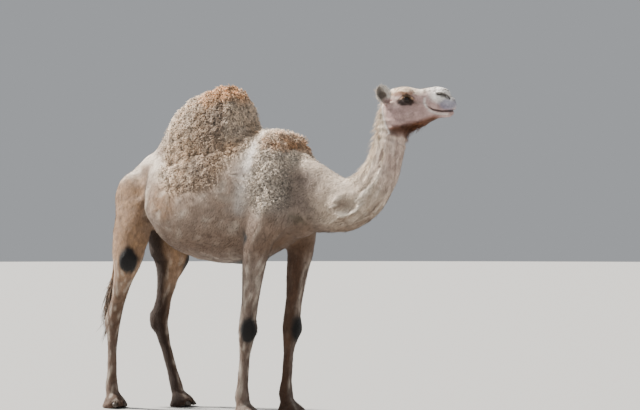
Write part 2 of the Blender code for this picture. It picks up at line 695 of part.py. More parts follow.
def divide(camel):
    """Parts the skin into the pieces a person would name."""
    limbs = loose(parted(camel, "limbs", (0, 0, LEG_CUT), (0, 0, -1)), leg_landmarks())
    neck = parted(camel, "neck_lower", *NECK_CUTS["base"])
    upper = parted(neck, "neck_upper", *NECK_CUTS["bend"])
    head = parted(upper, "head", *NECK_CUTS["nape"])
    carved(camel, "hump", *HUMP_REGION)
    feet = {}
    for side, sign in (("right", -1), ("left", 1)):
        for name, (x, y, z), radii in UPPER_LEGS:
            carved(camel, f"{name}_{side}", (x, sign * y, z), radii)
        for leg, joints, upper_name in (("fore", FORE_JOINTS, "forearm_"), ("hind", HIND_JOINTS, "shank_")):
            top = limbs[upper_name + side]
            middle_joint, low_joint = Vector(joints[side][2]), Vector(joints[side][3])
            below = middle_joint - Vector((0, 0, CANNON_DROP))
            cannon = parted(top, f"{leg}_cannon_{side}", below, (0, 0, -1))
            feet[f"{leg}foot_{side}"] = parted(cannon, f"{leg}foot_{side}", low_joint, (0, 0, -1))
    carved(camel, "tail_upper", *TAIL_REGION)
    parted(limbs["tail_lower"], "tail_tuft", (0, 0, TUFT_TOP), (0, 0, -1))
    return head, feet


def painted(obj, name, colour, roughness):
    material = bpy.data.materials.new(name)
    material.use_nodes = True
    shader = material.node_tree.nodes["Principled BSDF"]
    shader.inputs["Base Color"].default_value = (*colour, 1)
    shader.inputs["Roughness"].default_value = roughness
    obj.data.materials.clear()
    obj.data.materials.append(material)


def paint(nodes):
    for obj in nodes:
        colour, roughness = next(look for key, look in COLOURS.items() if obj.name.startswith(key))
        painted(obj, obj.name, colour, roughness)


def centred(nodes):
    """Moves every mesh so that the middle of the bottom of the whole camel's box is the origin."""
    points = np.vstack([points_of(obj) for obj in nodes])
    low, high = points.min(axis=0), points.max(axis=0)
    move = Matrix.Translation((-(low[0] + high[0]) / 2, -(low[1] + high[1]) / 2, -low[2]))
    for obj in nodes:
        obj.data.transform(move)


def main():
    for obj in list(bpy.data.objects):
        bpy.data.objects.remove(obj)
    camel = fused(flesh_parts())
    blended(camel)
    furrowed(camel)
    thinned(camel, FLESH_TRIANGLES)
    sliced(camel, (0, 0, 0), (0, 0, -1))
    head, feet = divide(camel)
    add_eyes(head)
    add_ears(head)
    add_nails(feet)
    nodes = list(bpy.data.objects)
    centred(nodes)
    paint(nodes)
    home = bpy.data.collections.new("dromedary_camel")
    bpy.context.scene.collection.children.link(home)
    for obj in nodes:
        bpy.context.scene.collection.objects.unlink(obj)
        home.objects.link(obj)


main()
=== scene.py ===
import math
from contextlib import contextmanager
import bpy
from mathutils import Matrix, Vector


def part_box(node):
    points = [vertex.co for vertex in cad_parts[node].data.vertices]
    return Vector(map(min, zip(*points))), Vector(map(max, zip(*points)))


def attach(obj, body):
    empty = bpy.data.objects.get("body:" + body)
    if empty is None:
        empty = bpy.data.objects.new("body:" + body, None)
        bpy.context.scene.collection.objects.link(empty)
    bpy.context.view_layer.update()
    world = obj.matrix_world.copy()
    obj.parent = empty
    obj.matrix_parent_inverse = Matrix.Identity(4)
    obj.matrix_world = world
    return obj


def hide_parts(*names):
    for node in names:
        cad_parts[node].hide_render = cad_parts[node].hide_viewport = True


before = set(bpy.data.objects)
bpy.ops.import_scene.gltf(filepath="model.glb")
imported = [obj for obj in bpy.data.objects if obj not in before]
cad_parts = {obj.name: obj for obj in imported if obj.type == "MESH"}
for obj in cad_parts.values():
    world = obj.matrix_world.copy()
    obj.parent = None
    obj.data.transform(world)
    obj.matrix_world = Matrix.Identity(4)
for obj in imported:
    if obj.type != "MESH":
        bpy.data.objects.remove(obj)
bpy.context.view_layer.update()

from types import SimpleNamespace

import bmesh
import bpy
import numpy as np
from mathutils import Vector

body = "root"
sides = {-1: "Right", 1: "Left"}


def sideNode(what, side):
    return f"{what}_{sides[side].lower()}"


def boxed(node):
    # middle and half size of a node
    low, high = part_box(node)
    return np.array(low + high) / 2, np.array(high - low) / 2


# landmarks, all counted from the frame's eyes
eyes = {side: boxed(sideNode("eye", side))[0] for side in sides}
eyeRadius = 0.0245
headUp = np.array((0.0, 0.0, 1.0))
headLeft = eyes[1] - eyes[-1]
headLeft[2] = 0
headLeft /= np.linalg.norm(headLeft)
headForward = np.cross(headLeft, headUp)
# from the head's own origin, low behind the jaw
headPlaces = {"eyeForward": 0.168, "eyeUp": 0.028, "middleForward": 0.21}
headOrigin = (eyes[1] + eyes[-1]) / 2
headOrigin = headOrigin - headForward * headPlaces["eyeForward"] - headUp * headPlaces["eyeUp"]
# the point on the floor under the hump, from which the places below are counted
belowHump = eyes[-1] - np.array((1.4693, 0.102, 1.958))


def at(x, y, z):
    return np.array((x, y, z)) + belowHump


def track(*places):
    return [at(*place) for place in places]


neckPath = track((0.56, 0, 1.43), (0.9, 0, 1.372), (1.11, 0.01, 1.345), (1.22, 0.03, 1.4),
                 (1.302, 0.055, 1.51), (1.342, 0.08, 1.645), (1.358, 0.1, 1.775), (1.364, 0.11, 1.875))
tailPath = track((-0.798, 0, 1.44), (-0.842, 0, 1.3), (-0.862, -0.01, 1.1), (-0.877, -0.022, 0.9),
                 (-0.892, -0.036, 0.76), (-0.905, -0.052, 0.57))
# from shoulder or hip over elbow or stifle, knee or hock and fetlock to the floor
legs = {
    "foreRight": track((0.62, -0.135, 1.44), (0.55, -0.2, 1.08), (0.446, -0.172, 0.56),
                       (0.404, -0.168, 0.15), (0.434, -0.168, 0)),
    "foreLeft": track((0.62, 0.135, 1.44), (0.578, 0.2, 1.08), (0.518, 0.172, 0.56),
                      (0.484, 0.166, 0.15), (0.516, 0.166, 0)),
    "hindRight": track((-0.56, -0.14, 1.36), (-0.55, -0.215, 0.99), (-0.738, -0.168, 0.56),
                       (-0.748, -0.165, 0.15), (-0.715, -0.17, 0)),
    "hindLeft": track((-0.56, 0.14, 1.36), (-0.562, 0.215, 0.99), (-0.632, 0.17, 0.56),
                      (-0.47, 0.162, 0.15), (-0.42, 0.166, 0)),
}
nailNodes = [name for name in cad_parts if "nail" in name]
fleshNodes = [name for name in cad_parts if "nail" not in name and "eye_" not in name]


def newPiece(name, data):
    piece = bpy.data.objects.new(name, data)
    bpy.context.scene.collection.objects.link(piece)
    return piece


def readOut(items, key, kind, width):
    # what a mesh's items store, one row for each
    flat = np.empty(len(items) * width, kind)
    items.foreach_get(key, flat)
    return flat.reshape(-1, width)


def pointsOf(mesh):
    return readOut(mesh.vertices, "co", np.float32, 3).astype(np.float64)


def normalsOf(mesh):
    return readOut(mesh.vertex_normals, "vector", np.float32, 3).astype(np.float64)


def edgesOf(mesh):
    return readOut(mesh.edges, "vertices", np.int32, 2)


def setPoints(mesh, points):
    mesh.vertices.foreach_set("co", points.astype(np.float32).ravel())
    mesh.update()


def putAttribute(mesh, name, kind, values):
    layer = mesh.attributes.new(name, kind, "POINT")
    key = "color" if "COLOR" in kind else "vector" if "VECTOR" in kind else "value"
    layer.data.foreach_set(key, np.ascontiguousarray(values, np.float32).ravel())


@contextmanager
def shaping(mesh, *sources):
    # an editable shape, begun from the sources and written to the mesh at the end
    shape = bmesh.new()
    for source in sources:
        shape.from_mesh(source)
    yield shape
    shape.to_mesh(mesh)
    shape.free()


def merged(shape):
    bmesh.ops.remove_doubles(shape, verts=shape.verts, dist=0.00002)


def neighbourMean(values, edges, count):
    total = np.empty_like(values)
    flat = values.reshape(len(values), -1)
    into = total.reshape(len(values), -1)
    for axis, column in enumerate(flat.T):
        into[:, axis] = (np.bincount(edges[:, 0], column[edges[:, 1]], len(column))
                         + np.bincount(edges[:, 1], column[edges[:, 0]], len(column))) / count
    return total


def relaxed(values, edges, rounds, share):
    # share says how much each point gives way, from 0 to 1
    count = np.maximum(np.bincount(edges.ravel(), minlength=len(values)), 1)
    for _ in range(rounds):
        values = values + 0.5 * share[:, None] * (neighbourMean(values, edges, count) - values)
    return values


def evaluatedMesh(piece):
    graph = bpy.context.evaluated_depsgraph_get()
    return bpy.data.meshes.new_from_object(piece.evaluated_get(graph), depsgraph=graph)


def applied(piece):
    # the piece's mesh as its modifiers leave it, with the modifiers gone
    mesh = evaluatedMesh(piece)
    piece.modifiers.clear()
    piece.data = mesh
    return mesh


def largestIsland(mesh):
    # voxels can leave small closed bubbles inside, which go
    edges = edgesOf(mesh)
    label = np.arange(len(mesh.vertices))
    while True:
        lowest = np.minimum(label[edges[:, 0]], label[edges[:, 1]])
        following = label.copy()
        np.minimum.at(following, edges[:, 0], lowest)
        np.minimum.at(following, edges[:, 1], lowest)
        following = following[following]
        if (following == label).all():
            break
        label = following
    strays = np.nonzero(label != np.bincount(label).argmax())[0]
    if len(strays):
        with shaping(mesh, mesh) as shape:
            shape.verts.ensure_lookup_table()
            bmesh.ops.delete(shape, geom=[shape.verts[i] for i in strays], context="VERTS")


def smooth(low, high, value):
    # 0 below low, 1 above high
    t = np.clip((value - low) / (high - low), 0, 1)
    return t * t * (3 - 2 * t)


def fade(low, high, value):
    # 1 below low, 0 above high
    return 1 - smooth(low, high, value)


def bell(value, width):
    return np.exp(-((value / width) ** 2))


def ripple(points, size, seed=0):
    # soft wandering between -1 and 1, with features about as wide as size
    draws = np.random.default_rng(seed)
    total = np.zeros(len(points))
    for _ in range(6):
        heading = draws.normal(size=3)
        heading *= 2 * math.pi / (size * 2.2 * np.linalg.norm(heading)) * draws.uniform(0.7, 1.5)
        total += np.sin(points @ heading + draws.uniform(0, 2 * math.pi))
    return total / 3.2


def blob(points, centre, radii, soft=0.35, ragged=0.0, seed=1, grain=0.06):
    # 1 well inside an ellipsoid and 0 outside it, with a ragged edge if asked
    reach = np.linalg.norm((points - centre) / np.asarray(radii), axis=1)
    if ragged:
        reach = reach + ragged * ripple(points, grain, seed)
    return fade(1 - soft, 1 + soft, reach)


def alongPath(points, path):
    # distance to a path, share of its length, and its direction at the nearest place
    path = np.asarray(path)
    steps = path[1:] - path[:-1]
    lengths = np.linalg.norm(steps, axis=1)
    starts = np.concatenate(([0], np.cumsum(lengths)))
    best = np.full(len(points), 1e9)
    share = np.zeros(len(points))
    heading = np.zeros((len(points), 3))
    for i, step in enumerate(steps):
        t = np.clip((points - path[i]) @ step / lengths[i] ** 2, 0, 1)
        away = np.linalg.norm(points - path[i] - t[:, None] * step, axis=1)
        nearer = away < best
        best[nearer] = away[nearer]
        share[nearer] = (starts[i] + t[nearer] * lengths[i]) / starts[-1]
        heading[nearer] = step / lengths[i]
    return best, share, heading


def unit(vectors):
    return vectors / np.maximum(np.linalg.norm(vectors, axis=-1, keepdims=True), 1e-9)


def headPlace(points):
    # forward, left and up from the head's own origin
    away = points - headOrigin
    return away @ headForward, away @ headLeft, away @ headUp


def fromHead(points):
    # distance from the middle of the head
    return np.linalg.norm(points - headOrigin - headForward * headPlaces["middleForward"], axis=1)


def lineDistance(forward, up, line):
    # distance to a line drawn on the side of the head, and share of its length
    flat = np.stack((forward, up, np.zeros(len(forward))), axis=1)
    return alongPath(flat, [np.array((a, b, 0.0)) for a, b in line])[:2]


skinSizes = {
    "voxel": 0.0105,  # on the body, before the head is enlarged
    "enlargement": 3.3,  # how much finer the head is than the body
    "fineRadius": 0.29,  # round the middle of the head
    "fadeRadius": 0.55,
    "longestEdge": 0.045,
    "mostTriangles": 190000,
    "rounds": 26,  # of smoothing
    "tailLevel": 0.12,  # below the tail's root, where its thin part begins
    "tailShares": (0, 0.45, 0.75, 1.0),
    "tailRadii": (0.024, 0.016, 0.013, 0.008),
    "lidThickness": 0.0034,
    "eyeInset": 0.0045,  # how far the skin lies behind the eyeball in the opening
}


def enlarge(points, centre, back=False):
    # a monotone curve: steep near the head and slope one far from it
    steps = np.linspace(0, 4, 4001)
    slope = 1 + (skinSizes["enlargement"] - 1) * fade(skinSizes["fineRadius"], skinSizes["fadeRadius"], steps)
    grown = np.concatenate(([0], np.cumsum((slope[1:] + slope[:-1]) / 2 * (steps[1] - steps[0]))))
    away = points - centre
    radius = np.maximum(np.linalg.norm(away, axis=1), 1e-9)
    reach = np.interp(radius, grown, steps) if back else np.interp(radius, steps, grown)
    return centre + away * (reach / radius)[:, None]


def flesh():
    # one closed body from the nodes of flesh, finer at the head
    mesh = bpy.data.meshes.new("skin")
    sources = [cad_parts[name].data for name in fleshNodes + ["eye_right", "eye_left"]]
    with shaping(mesh, *sources) as shape:
        merged(shape)
    # long faces are cut first, so that they follow the enlargement's curve
    with shaping(mesh, mesh) as shape:
        bmesh.ops.triangulate(shape, faces=shape.faces)
        for _ in range(2):
            tooLong = [e for e in shape.edges if e.calc_length() > skinSizes["longestEdge"]]
            bmesh.ops.subdivide_edges(shape, edges=tooLong, cuts=1)
            bmesh.ops.triangulate(shape, faces=[f for f in shape.faces if len(f.verts) > 3])
    centre = headOrigin + headForward * headPlaces["middleForward"] + headUp * 0.02
    setPoints(mesh, enlarge(pointsOf(mesh), centre))
    piece = newPiece("skin", mesh)
    voxels = piece.modifiers.new("voxels", "REMESH")
    voxels.mode = "VOXEL"
    voxels.voxel_size = skinSizes["voxel"]
    mesh = applied(piece)
    largestIsland(mesh)
    setPoints(mesh, enlarge(pointsOf(mesh), centre, back=True))
    return piece


def earBox(points, side, soft):
    # 1 inside the ear's box
    centre, half = boxed(sideNode("ear", side))
    return fade(0.95, soft, np.abs((points - centre) / half).max(axis=1)), centre, half


def evened(mesh):
    # takes the facets out without thinning the limbs: what the smoothing took is given back, smoothed
    points, edges = pointsOf(mesh), edgesOf(mesh)
    z = points[:, 2]
    ears = np.maximum(*(earBox(points, side, 1.35)[0] for side in sides))
    share = 1 - 0.55 * fade(0.3, 0.42, fromHead(points))
    share *= 1 - 0.93 * ears
    share *= 1 - 0.85 * fade(0.0, 0.05, z)
    share *= 1 - 0.5 * fade(0.6, 0.95, z)
    tailTop = tailPath[0][2]
    share *= 1 - 0.9 * ((alongPath(points, tailPath)[0] < 0.05) & (z < tailTop - skinSizes["tailLevel"]))
    soft = relaxed(points, edges, skinSizes["rounds"], share)
    soft = soft + relaxed(points - soft, edges, skinSizes["rounds"], share)
    # the thin tail is filled out again round its own path
    away, share, _ = alongPath(soft, tailPath)
    run = np.concatenate(([0], np.cumsum(np.linalg.norm(np.diff(tailPath, axis=0), axis=1))))
    spaced = np.linspace(0, run[-1], 200)
    stops = [np.interp(share, np.linspace(0, 1, 200), np.interp(spaced, run, line))
             for line in np.array(tailPath).T]
    stops = np.array(stops).T
    onTail = smooth(0.1, 0.16, tailTop - soft[:, 2]) * (away < 0.05)
    thick = np.interp(share, skinSizes["tailShares"], skinSizes["tailRadii"])
    grown = stops + unit(soft - stops) * np.maximum(thick, away)[:, None]
    setPoints(mesh, soft + (grown - soft) * onTail[:, None])


# degrees round the eye: the opening's half width, and its height above and below the line of the corners
opening = {"halfWidth": 64.0, "upper": 33.0, "lower": 40.0, "slope": -0.12, "middle": -2}


def eyeAxes(side):
    # the eye looks outward and a little ahead
    outward = unit(headLeft * side + headForward * 0.34 + headUp * 0.1)
    ahead = unit(headForward - outward * (headForward @ outward))
    return eyes[side], outward, ahead, np.cross(ahead, outward) * side


def lidField(points, side):
    # direction and radius from the eye's middle, facing outward or not, height in degrees above its
    # axis, and degrees outside the opening between the lids, where 0 is on its edge
    centre, outward, ahead, above = eyeAxes(side)
    away = points - centre
    radius = np.linalg.norm(away, axis=1)
    heading = away / np.maximum(radius, 1e-9)[:, None]
    facing = heading @ outward
    across = np.degrees(np.arctan2(heading @ ahead, facing))
    along = np.degrees(np.arcsin(np.clip(heading @ above, -1, 1)))
    t = np.clip(np.abs(across - opening["middle"]) / opening["halfWidth"], 0, 1.4)
    arch = np.sqrt(np.clip(1 - t ** 2, 0, 1))
    slope = opening["slope"] * across  # the front corner is the lower
    over = (along - slope) - opening["upper"] * arch
    under = -(along - slope) - opening["lower"] * arch
    edge = np.maximum(over, under) + 18 * np.clip(t - 1, 0, 1)
    return heading, radius, facing, along, edge


def sculptEyes(points):
    for side in sides:
        heading, radius, facing, along, edge = lidField(points, side)
        near = smooth(-0.1, 0.25, facing) * fade(0.04, 0.052, radius)
        inside = fade(-4.0, 3.0, edge)
        upperLid = smooth(0, 8, along)
        lid = eyeRadius + skinSizes["lidThickness"] + (0.0014 + 0.003 * upperLid) * bell(edge - 7, 7)
        lid = lid - 0.0036 * bell(edge - 19, 5) * (0.35 + 0.65 * upperLid)
        target = lid * (1 - inside) + (eyeRadius - skinSizes["eyeInset"]) * inside
        # farther out the lids run into the head's own surface
        own = smooth(22, 38, edge)
        target = target * (1 - own) + np.maximum(radius, eyeRadius + 0.001) * own
        points = points + heading * ((target - radius) * near)[:, None]
        # the brow overhangs the eye from behind its middle to its front corner
        forward, left, up = headPlace(points)
        onSide = smooth(0.02, 0.045, left * side)
        brow = bell(up - 0.069 + 0.2 * (forward - 0.168), 0.011) * bell(forward - 0.166, 0.046) * onSide
        points = points + (headLeft * side * 0.0115 + headUp * 0.002) * brow[:, None]
        below = bell(up + 0.008, 0.008) * bell(forward - 0.17, 0.03) * onSide
        points = points - headLeft * side * 0.0022 * below[:, None]
    return points


# lines on the side of the head, forward and up; the seam runs from the ear's root down behind the jaw
mouthLine = [(0.286, -0.01), (0.325, -0.034), (0.378, -0.044), (0.427, -0.042), (0.47, -0.036)]
nostrilLine = [(0.348, 0.06), (0.372, 0.059), (0.396, 0.051), (0.414, 0.04), (0.428, 0.026)]
jawSeam = [(0.012, -0.01), (0.022, -0.06), (0.042, -0.12), (0.072, -0.17)]


def sculptMuzzle(points, normals):
    forward, left, up = headPlace(points)
    aside = np.abs(left)
    away, share = lineDistance(forward, up, mouthLine)
    overMouth = up - np.interp(forward, *zip(*mouthLine))
    depth = 0.0085 * bell(away, 0.0034) * smooth(0.0, 0.45, share)
    depth -= 0.003 * bell(overMouth - 0.013, 0.01) * smooth(0.33, 0.4, forward)  # upper lip
    depth -= 0.0022 * bell(overMouth + 0.012, 0.009) * smooth(0.33, 0.4, forward)  # lower lip
    depth -= 0.0025 * bell(np.hypot(forward - 0.276, up + 0.002), 0.012)  # fold at the corner
    away, share = lineDistance(forward, up, nostrilLine)
    onSide = smooth(0.01, 0.02, aside)
    above = smooth(-0.001, 0.003, up - np.interp(forward, *zip(*nostrilLine)))
    gape = 0.0028 + 0.0058 * np.sin(np.pi * np.clip(share, 0, 1)) ** 1.2  # a lens, widest at its middle
    slit = bell(away, gape) * smooth(-0.02, 0.1, share) * fade(0.9, 1.02, share)
    depth += onSide * 0.015 * slit
    depth -= onSide * 0.0052 * bell(away - 0.0115, 0.0052) * above
    depth -= onSide * 0.0024 * bell(away - 0.0105, 0.005) * (1 - above)
    cleft = bell(left, 0.003) * smooth(0.425, 0.44, forward) * smooth(-0.034, -0.026, up)
    depth += 0.005 * cleft * fade(0.02, 0.034, up)
    # cheek bone, hollow above the mouth's corner, hollow of the temple, and jaw muscle
    crest = bell(up - 0.004 + 0.16 * (forward - 0.21), 0.01) * bell(forward - 0.235, 0.055)
    depth -= 0.0034 * crest * smooth(0.02, 0.04, aside)
    depth += 0.0038 * bell(np.hypot(forward - 0.305, up - 0.026), 0.024)
    temple = bell(np.hypot((forward - 0.105) / 1.4, up - 0.052), 0.018)
    depth += 0.005 * temple * smooth(0.03, 0.05, aside)
    depth -= 0.0045 * bell(np.hypot((forward - 0.125) / 1.3, (up + 0.045) / 1.5), 0.03)
    muzzle = smooth(0.25, 0.3, forward)
    return points - normals * (depth * (muzzle + (1 - muzzle) * (forward > 0.02)))[:, None]


# cords, furrows and hollows at the bend of the neck, on its right side
neckRidges = [[(1.11, -0.13, 1.385), (1.1, -0.13, 1.32), (1.123, -0.13, 1.268), (1.18, -0.13, 1.262),
               (1.23, -0.13, 1.283), (1.304, -0.1, 1.4), (1.354, -0.07, 1.475), (1.372, -0.05, 1.54)],
              [(1.225, -0.13, 1.345), (1.27, -0.12, 1.378), (1.33, -0.09, 1.426)]]
neckFurrows = [[(1.372, -0.05, 1.66), (1.36, -0.055, 1.545)],
               [(1.08, -0.1, 1.2), (1.2, -0.09, 1.205), (1.31, -0.07, 1.245), (1.385, -0.04, 1.33),
                (1.42, -0.02, 1.44)],
              [(1.205, -0.13, 1.3), (1.262, -0.12, 1.398), (1.318, -0.08, 1.478), (1.345, -0.05, 1.545)],
              [(1.255, -0.12, 1.29), (1.33, -0.09, 1.385), (1.385, -0.06, 1.48)]]
neckHollows = [((1.172, -0.13, 1.335), 0.036), ((1.345, -0.085, 1.412), 0.019)]


def onSurface(points, places, side):
    # the skin's nearest points to these places, mirrored for the left
    places = [at(x, y if side < 0 else 0.05 - y, z) for x, y, z in places]
    return [points[np.argmin(np.linalg.norm(points - place, axis=1))] for place in places]


def neckRelief(points, side):
    def lines(tracks, width):
        drawn = np.zeros(len(points))
        for stops in tracks:
            away, share, _ = alongPath(points, onSurface(points, stops, side))
            ends = np.sin(np.pi * np.clip(0.12 + 0.76 * share, 0, 1))
            drawn = np.maximum(drawn, bell(away, width) * ends)
        return drawn

    ridge, furrow = lines(neckRidges, 0.014), lines(neckFurrows, 0.01)
    hollow = np.zeros(len(points))
    for place, width in neckHollows:
        centre = onSurface(points, [place], side)[0]
        hollow = np.maximum(hollow, bell(np.linalg.norm(points - centre, axis=1), width))
    return ridge, hollow, furrow


def flankCrease(p):
    # where the barrel of the body bulges in front of the haunch
    x, y, z = p.T
    line = bell(x + 0.374 - 0.05 * smooth(1.34, 1.14, z), 0.025)
    return line * smooth(1.1, 1.2, z) * fade(1.46, 1.62, z) * smooth(0.12, 0.18, np.abs(y))


def seamBehindJaw(forward, left, up, z):
    seam = bell(lineDistance(forward, up, jawSeam)[0], 0.007)
    return seam, smooth(0.03, 0.05, np.abs(left)), smooth(1.7, 1.75, z)


def toeHeading(name):
    # the nails' side of the foot, level
    leg, side = name[:4], name[4:].lower()
    inner, outer = (boxed(f"{leg}_nail_{side}_{place}")[0] for place in ("inner", "outer"))
    heading = (inner + outer) / 2 - legs[name][4]
    heading[2] = 0
    return heading / np.linalg.norm(heading)


# thick bare skin: where it lies from the knee or stifle, and its radii
padRadii = {"fore": (0.056, 0.056, 0.088), "hind": (0.074, 0.07, 0.1)}
padPlaces = {
    "foreRight": legs["foreRight"][2] + (0.042, -0.03, 0.0),
    "foreLeft": legs["foreLeft"][2] + (0.042, 0.004, 0.0),
    "hindRight": legs["hindRight"][1] + (0.076, -0.08, -0.018),
    "hindLeft": legs["hindLeft"][1] + (0.076, 0.07, -0.018),
}


# height, place at a level, slope and level, width, then the line's middle and reach up and down
muscleLines = {
    "bladeRidge": (0.0085, 0.64, 0.1, 1.4, 0.035, 1.42, 0.17),
    "behindBlade": (-0.011, 0.455, 0.06, 1.5, 0.04, 1.5, 0.24),
    "thigh": (-0.008, -0.66, -0.2, 1.2, 0.03, 1.18, 0.18),
}


def sculptBody(points, normals):
    p = points - belowHump
    x, y, z = p.T
    aside = np.abs(y)
    flank = smooth(0.05, 0.12, aside)
    # the row of neck bones under the skin
    share = alongPath(points, neckPath)[1]
    fromCrest = np.abs(y - np.interp(share, [0, 1], [0, 0.1]))
    beads = 0.6 + 0.4 * np.cos(share * 2 * math.pi * 9)
    onNeck = smooth(0.18, 0.3, share) * fade(0.86, 0.97, share)
    above = z - np.interp(x, [0.56, 0.9, 1.11, 1.22, 1.302], [1.43, 1.372, 1.345, 1.4, 1.51])
    rise = np.zeros(len(points))
    rise += 0.0075 * beads * onNeck * bell(above + 0.015, 0.05) * smooth(0.03, 0.06, fromCrest) * (z < 1.62)
    for side in sides:
        ridge, hollow, furrow = neckRelief(points, side)
        rise += 0.02 * ridge - 0.02 * hollow * (1 - ridge) - 0.009 * furrow * (1 - ridge)
    seam, seamSide, seamTop = seamBehindJaw(*headPlace(points), z)
    rise += 0.006 * seam * seamSide * seamTop
    # ring folds at the bend of the throat
    rise += 0.003 * np.cos(share * 2 * math.pi * 26) * smooth(0.8, 0.88, share) * fade(0.95, 1.0, share)
    # milk vein along the belly, and the folds between belly and elbow
    vein = bell(z - 1.105 - 0.02 * np.sin(x * 9), 0.01) * bell(x - 0.22, 0.24)
    rise += 0.005 * vein * smooth(0.12, 0.18, aside)
    folds = bell(x - 0.4 - 0.16 * (1.3 - z), 0.055) * bell(z - 1.2, 0.13) * flank
    rise += 0.006 * np.cos((x + 0.25 * z) * 2 * math.pi / 0.03) * folds
    for height, place, slope, level, width, middle, reach in muscleLines.values():
        rise += height * (bell(x - place - slope * (z - level), width) * bell(z - middle, reach) * flank)
    rise -= 0.02 * flankCrease(p)
    rise += 0.008 * bell(x + 0.3, 0.03) * smooth(1.2, 1.3, z) * fade(1.48, 1.6, z) * flank
    # low waves, so that the sides are not turned smooth
    waves = 0.0022 * ripple(points, 0.07, 3) + 0.0014 * ripple(points, 0.03, 4)
    rise += waves * (smooth(0.9, 1.0, z) * fade(1.2, 1.4, x))
    for name, path in legs.items():
        # the cleft between the two toes
        heading = toeHeading(name)
        across = np.abs((path[4] + heading * 0.1 - points) @ np.cross(heading, headUp))
        front = (points - path[4]) @ heading
        rise -= 0.015 * bell(across, 0.007) * smooth(0.035, 0.07, front) * (front < 0.2) * (z < 0.075)
        centre, radii = padPlaces[name], padRadii[name[:4]]
        rise += 0.008 * blob(points, centre, radii, 0.4)
        rim = bell(np.linalg.norm((points - centre) / radii, axis=1) - 1.12, 0.1)
        rise += 0.005 * rim * (0.5 + 0.5 * np.cos(z * 2 * math.pi / 0.024))
    return points + normals * rise[:, None]


def thinned(piece):
    # as few triangles as asked, and fewer of them taken from the head
    mesh = piece.data
    triangles = len(mesh.polygons) * 2
    if triangles <= skinSizes["mostTriangles"]:
        return mesh
    guard = piece.vertex_groups.new(name="guard")
    worth = smooth(0.28, 0.5, fromHead(pointsOf(mesh)))
    for level in range(11):
        chosen = np.nonzero(np.round(worth * 10) == level)[0]
        guard.add(chosen.tolist(), level / 10, "REPLACE")
    thin = piece.modifiers.new("thin", "DECIMATE")
    thin.ratio = skinSizes["mostTriangles"] / triangles
    thin.vertex_group = "guard"
    mesh = applied(piece)
    piece.vertex_groups.clear()
    return mesh


def skin():
    piece = flesh()
    evened(piece.data)
    print("skin evened:", len(piece.data.vertices), "points")
    mesh = thinned(piece)
    points = sculptEyes(pointsOf(mesh))
    setPoints(mesh, points)
    for sculpt in (sculptMuzzle, sculptBody):
        points = sculpt(points, normalsOf(mesh))
        setPoints(mesh, points)
    mesh.shade_smooth()
    return piece


def earFrame(side):
    root = headOrigin + headForward * 0.046 + headLeft * 0.074 * side + headUp * 0.008
    axis = unit(headForward * -0.24 + headLeft * 0.42 * side + headUp * 0.87)
    return root, axis, unit(headForward * 0.8 + headLeft * 0.6 * side)


def earFields(f):
    # the ears, their insides and edges; returns the lie of the hair on them
    f.ears, f.earInside, f.earEdge = np.zeros((3, len(f.p)))
    lie = np.zeros((len(f.p), 3))
    for side in sides:
        root, axis, ahead = earFrame(side)
        own, centre, half = earBox(f.points, side, 1.1)
        own *= smooth(0.015, 0.045, (f.points - root) @ axis)
        f.ears = np.maximum(f.ears, own)
        facing = f.normals @ ahead
        outside = f.points - centre - ((f.points - centre) @ ahead)[:, None] * ahead
        far = np.linalg.norm(outside / half.max(), axis=1)
        f.earEdge = np.maximum(f.earEdge, own * bell(facing - 0.25, 0.45) * smooth(0.25, 0.5, far))
        f.earInside = np.maximum(f.earInside, own * smooth(0.05, 0.45, facing))
        lie += own[:, None] * (axis + 0.8 * unit(outside) + 0.35 * ahead)
    return lie


# wool seen from the side: middle, half length and half height
woolOvals = {
    "hump": (0.1, 1.88, 0.385, 0.33),
    "belowHump": (0.06, 1.59, 0.26, 0.175),
    "withers": (0.67, 1.69, 0.19, 0.14),
    "blade": (0.645, 1.47, 0.155, 0.17),
}


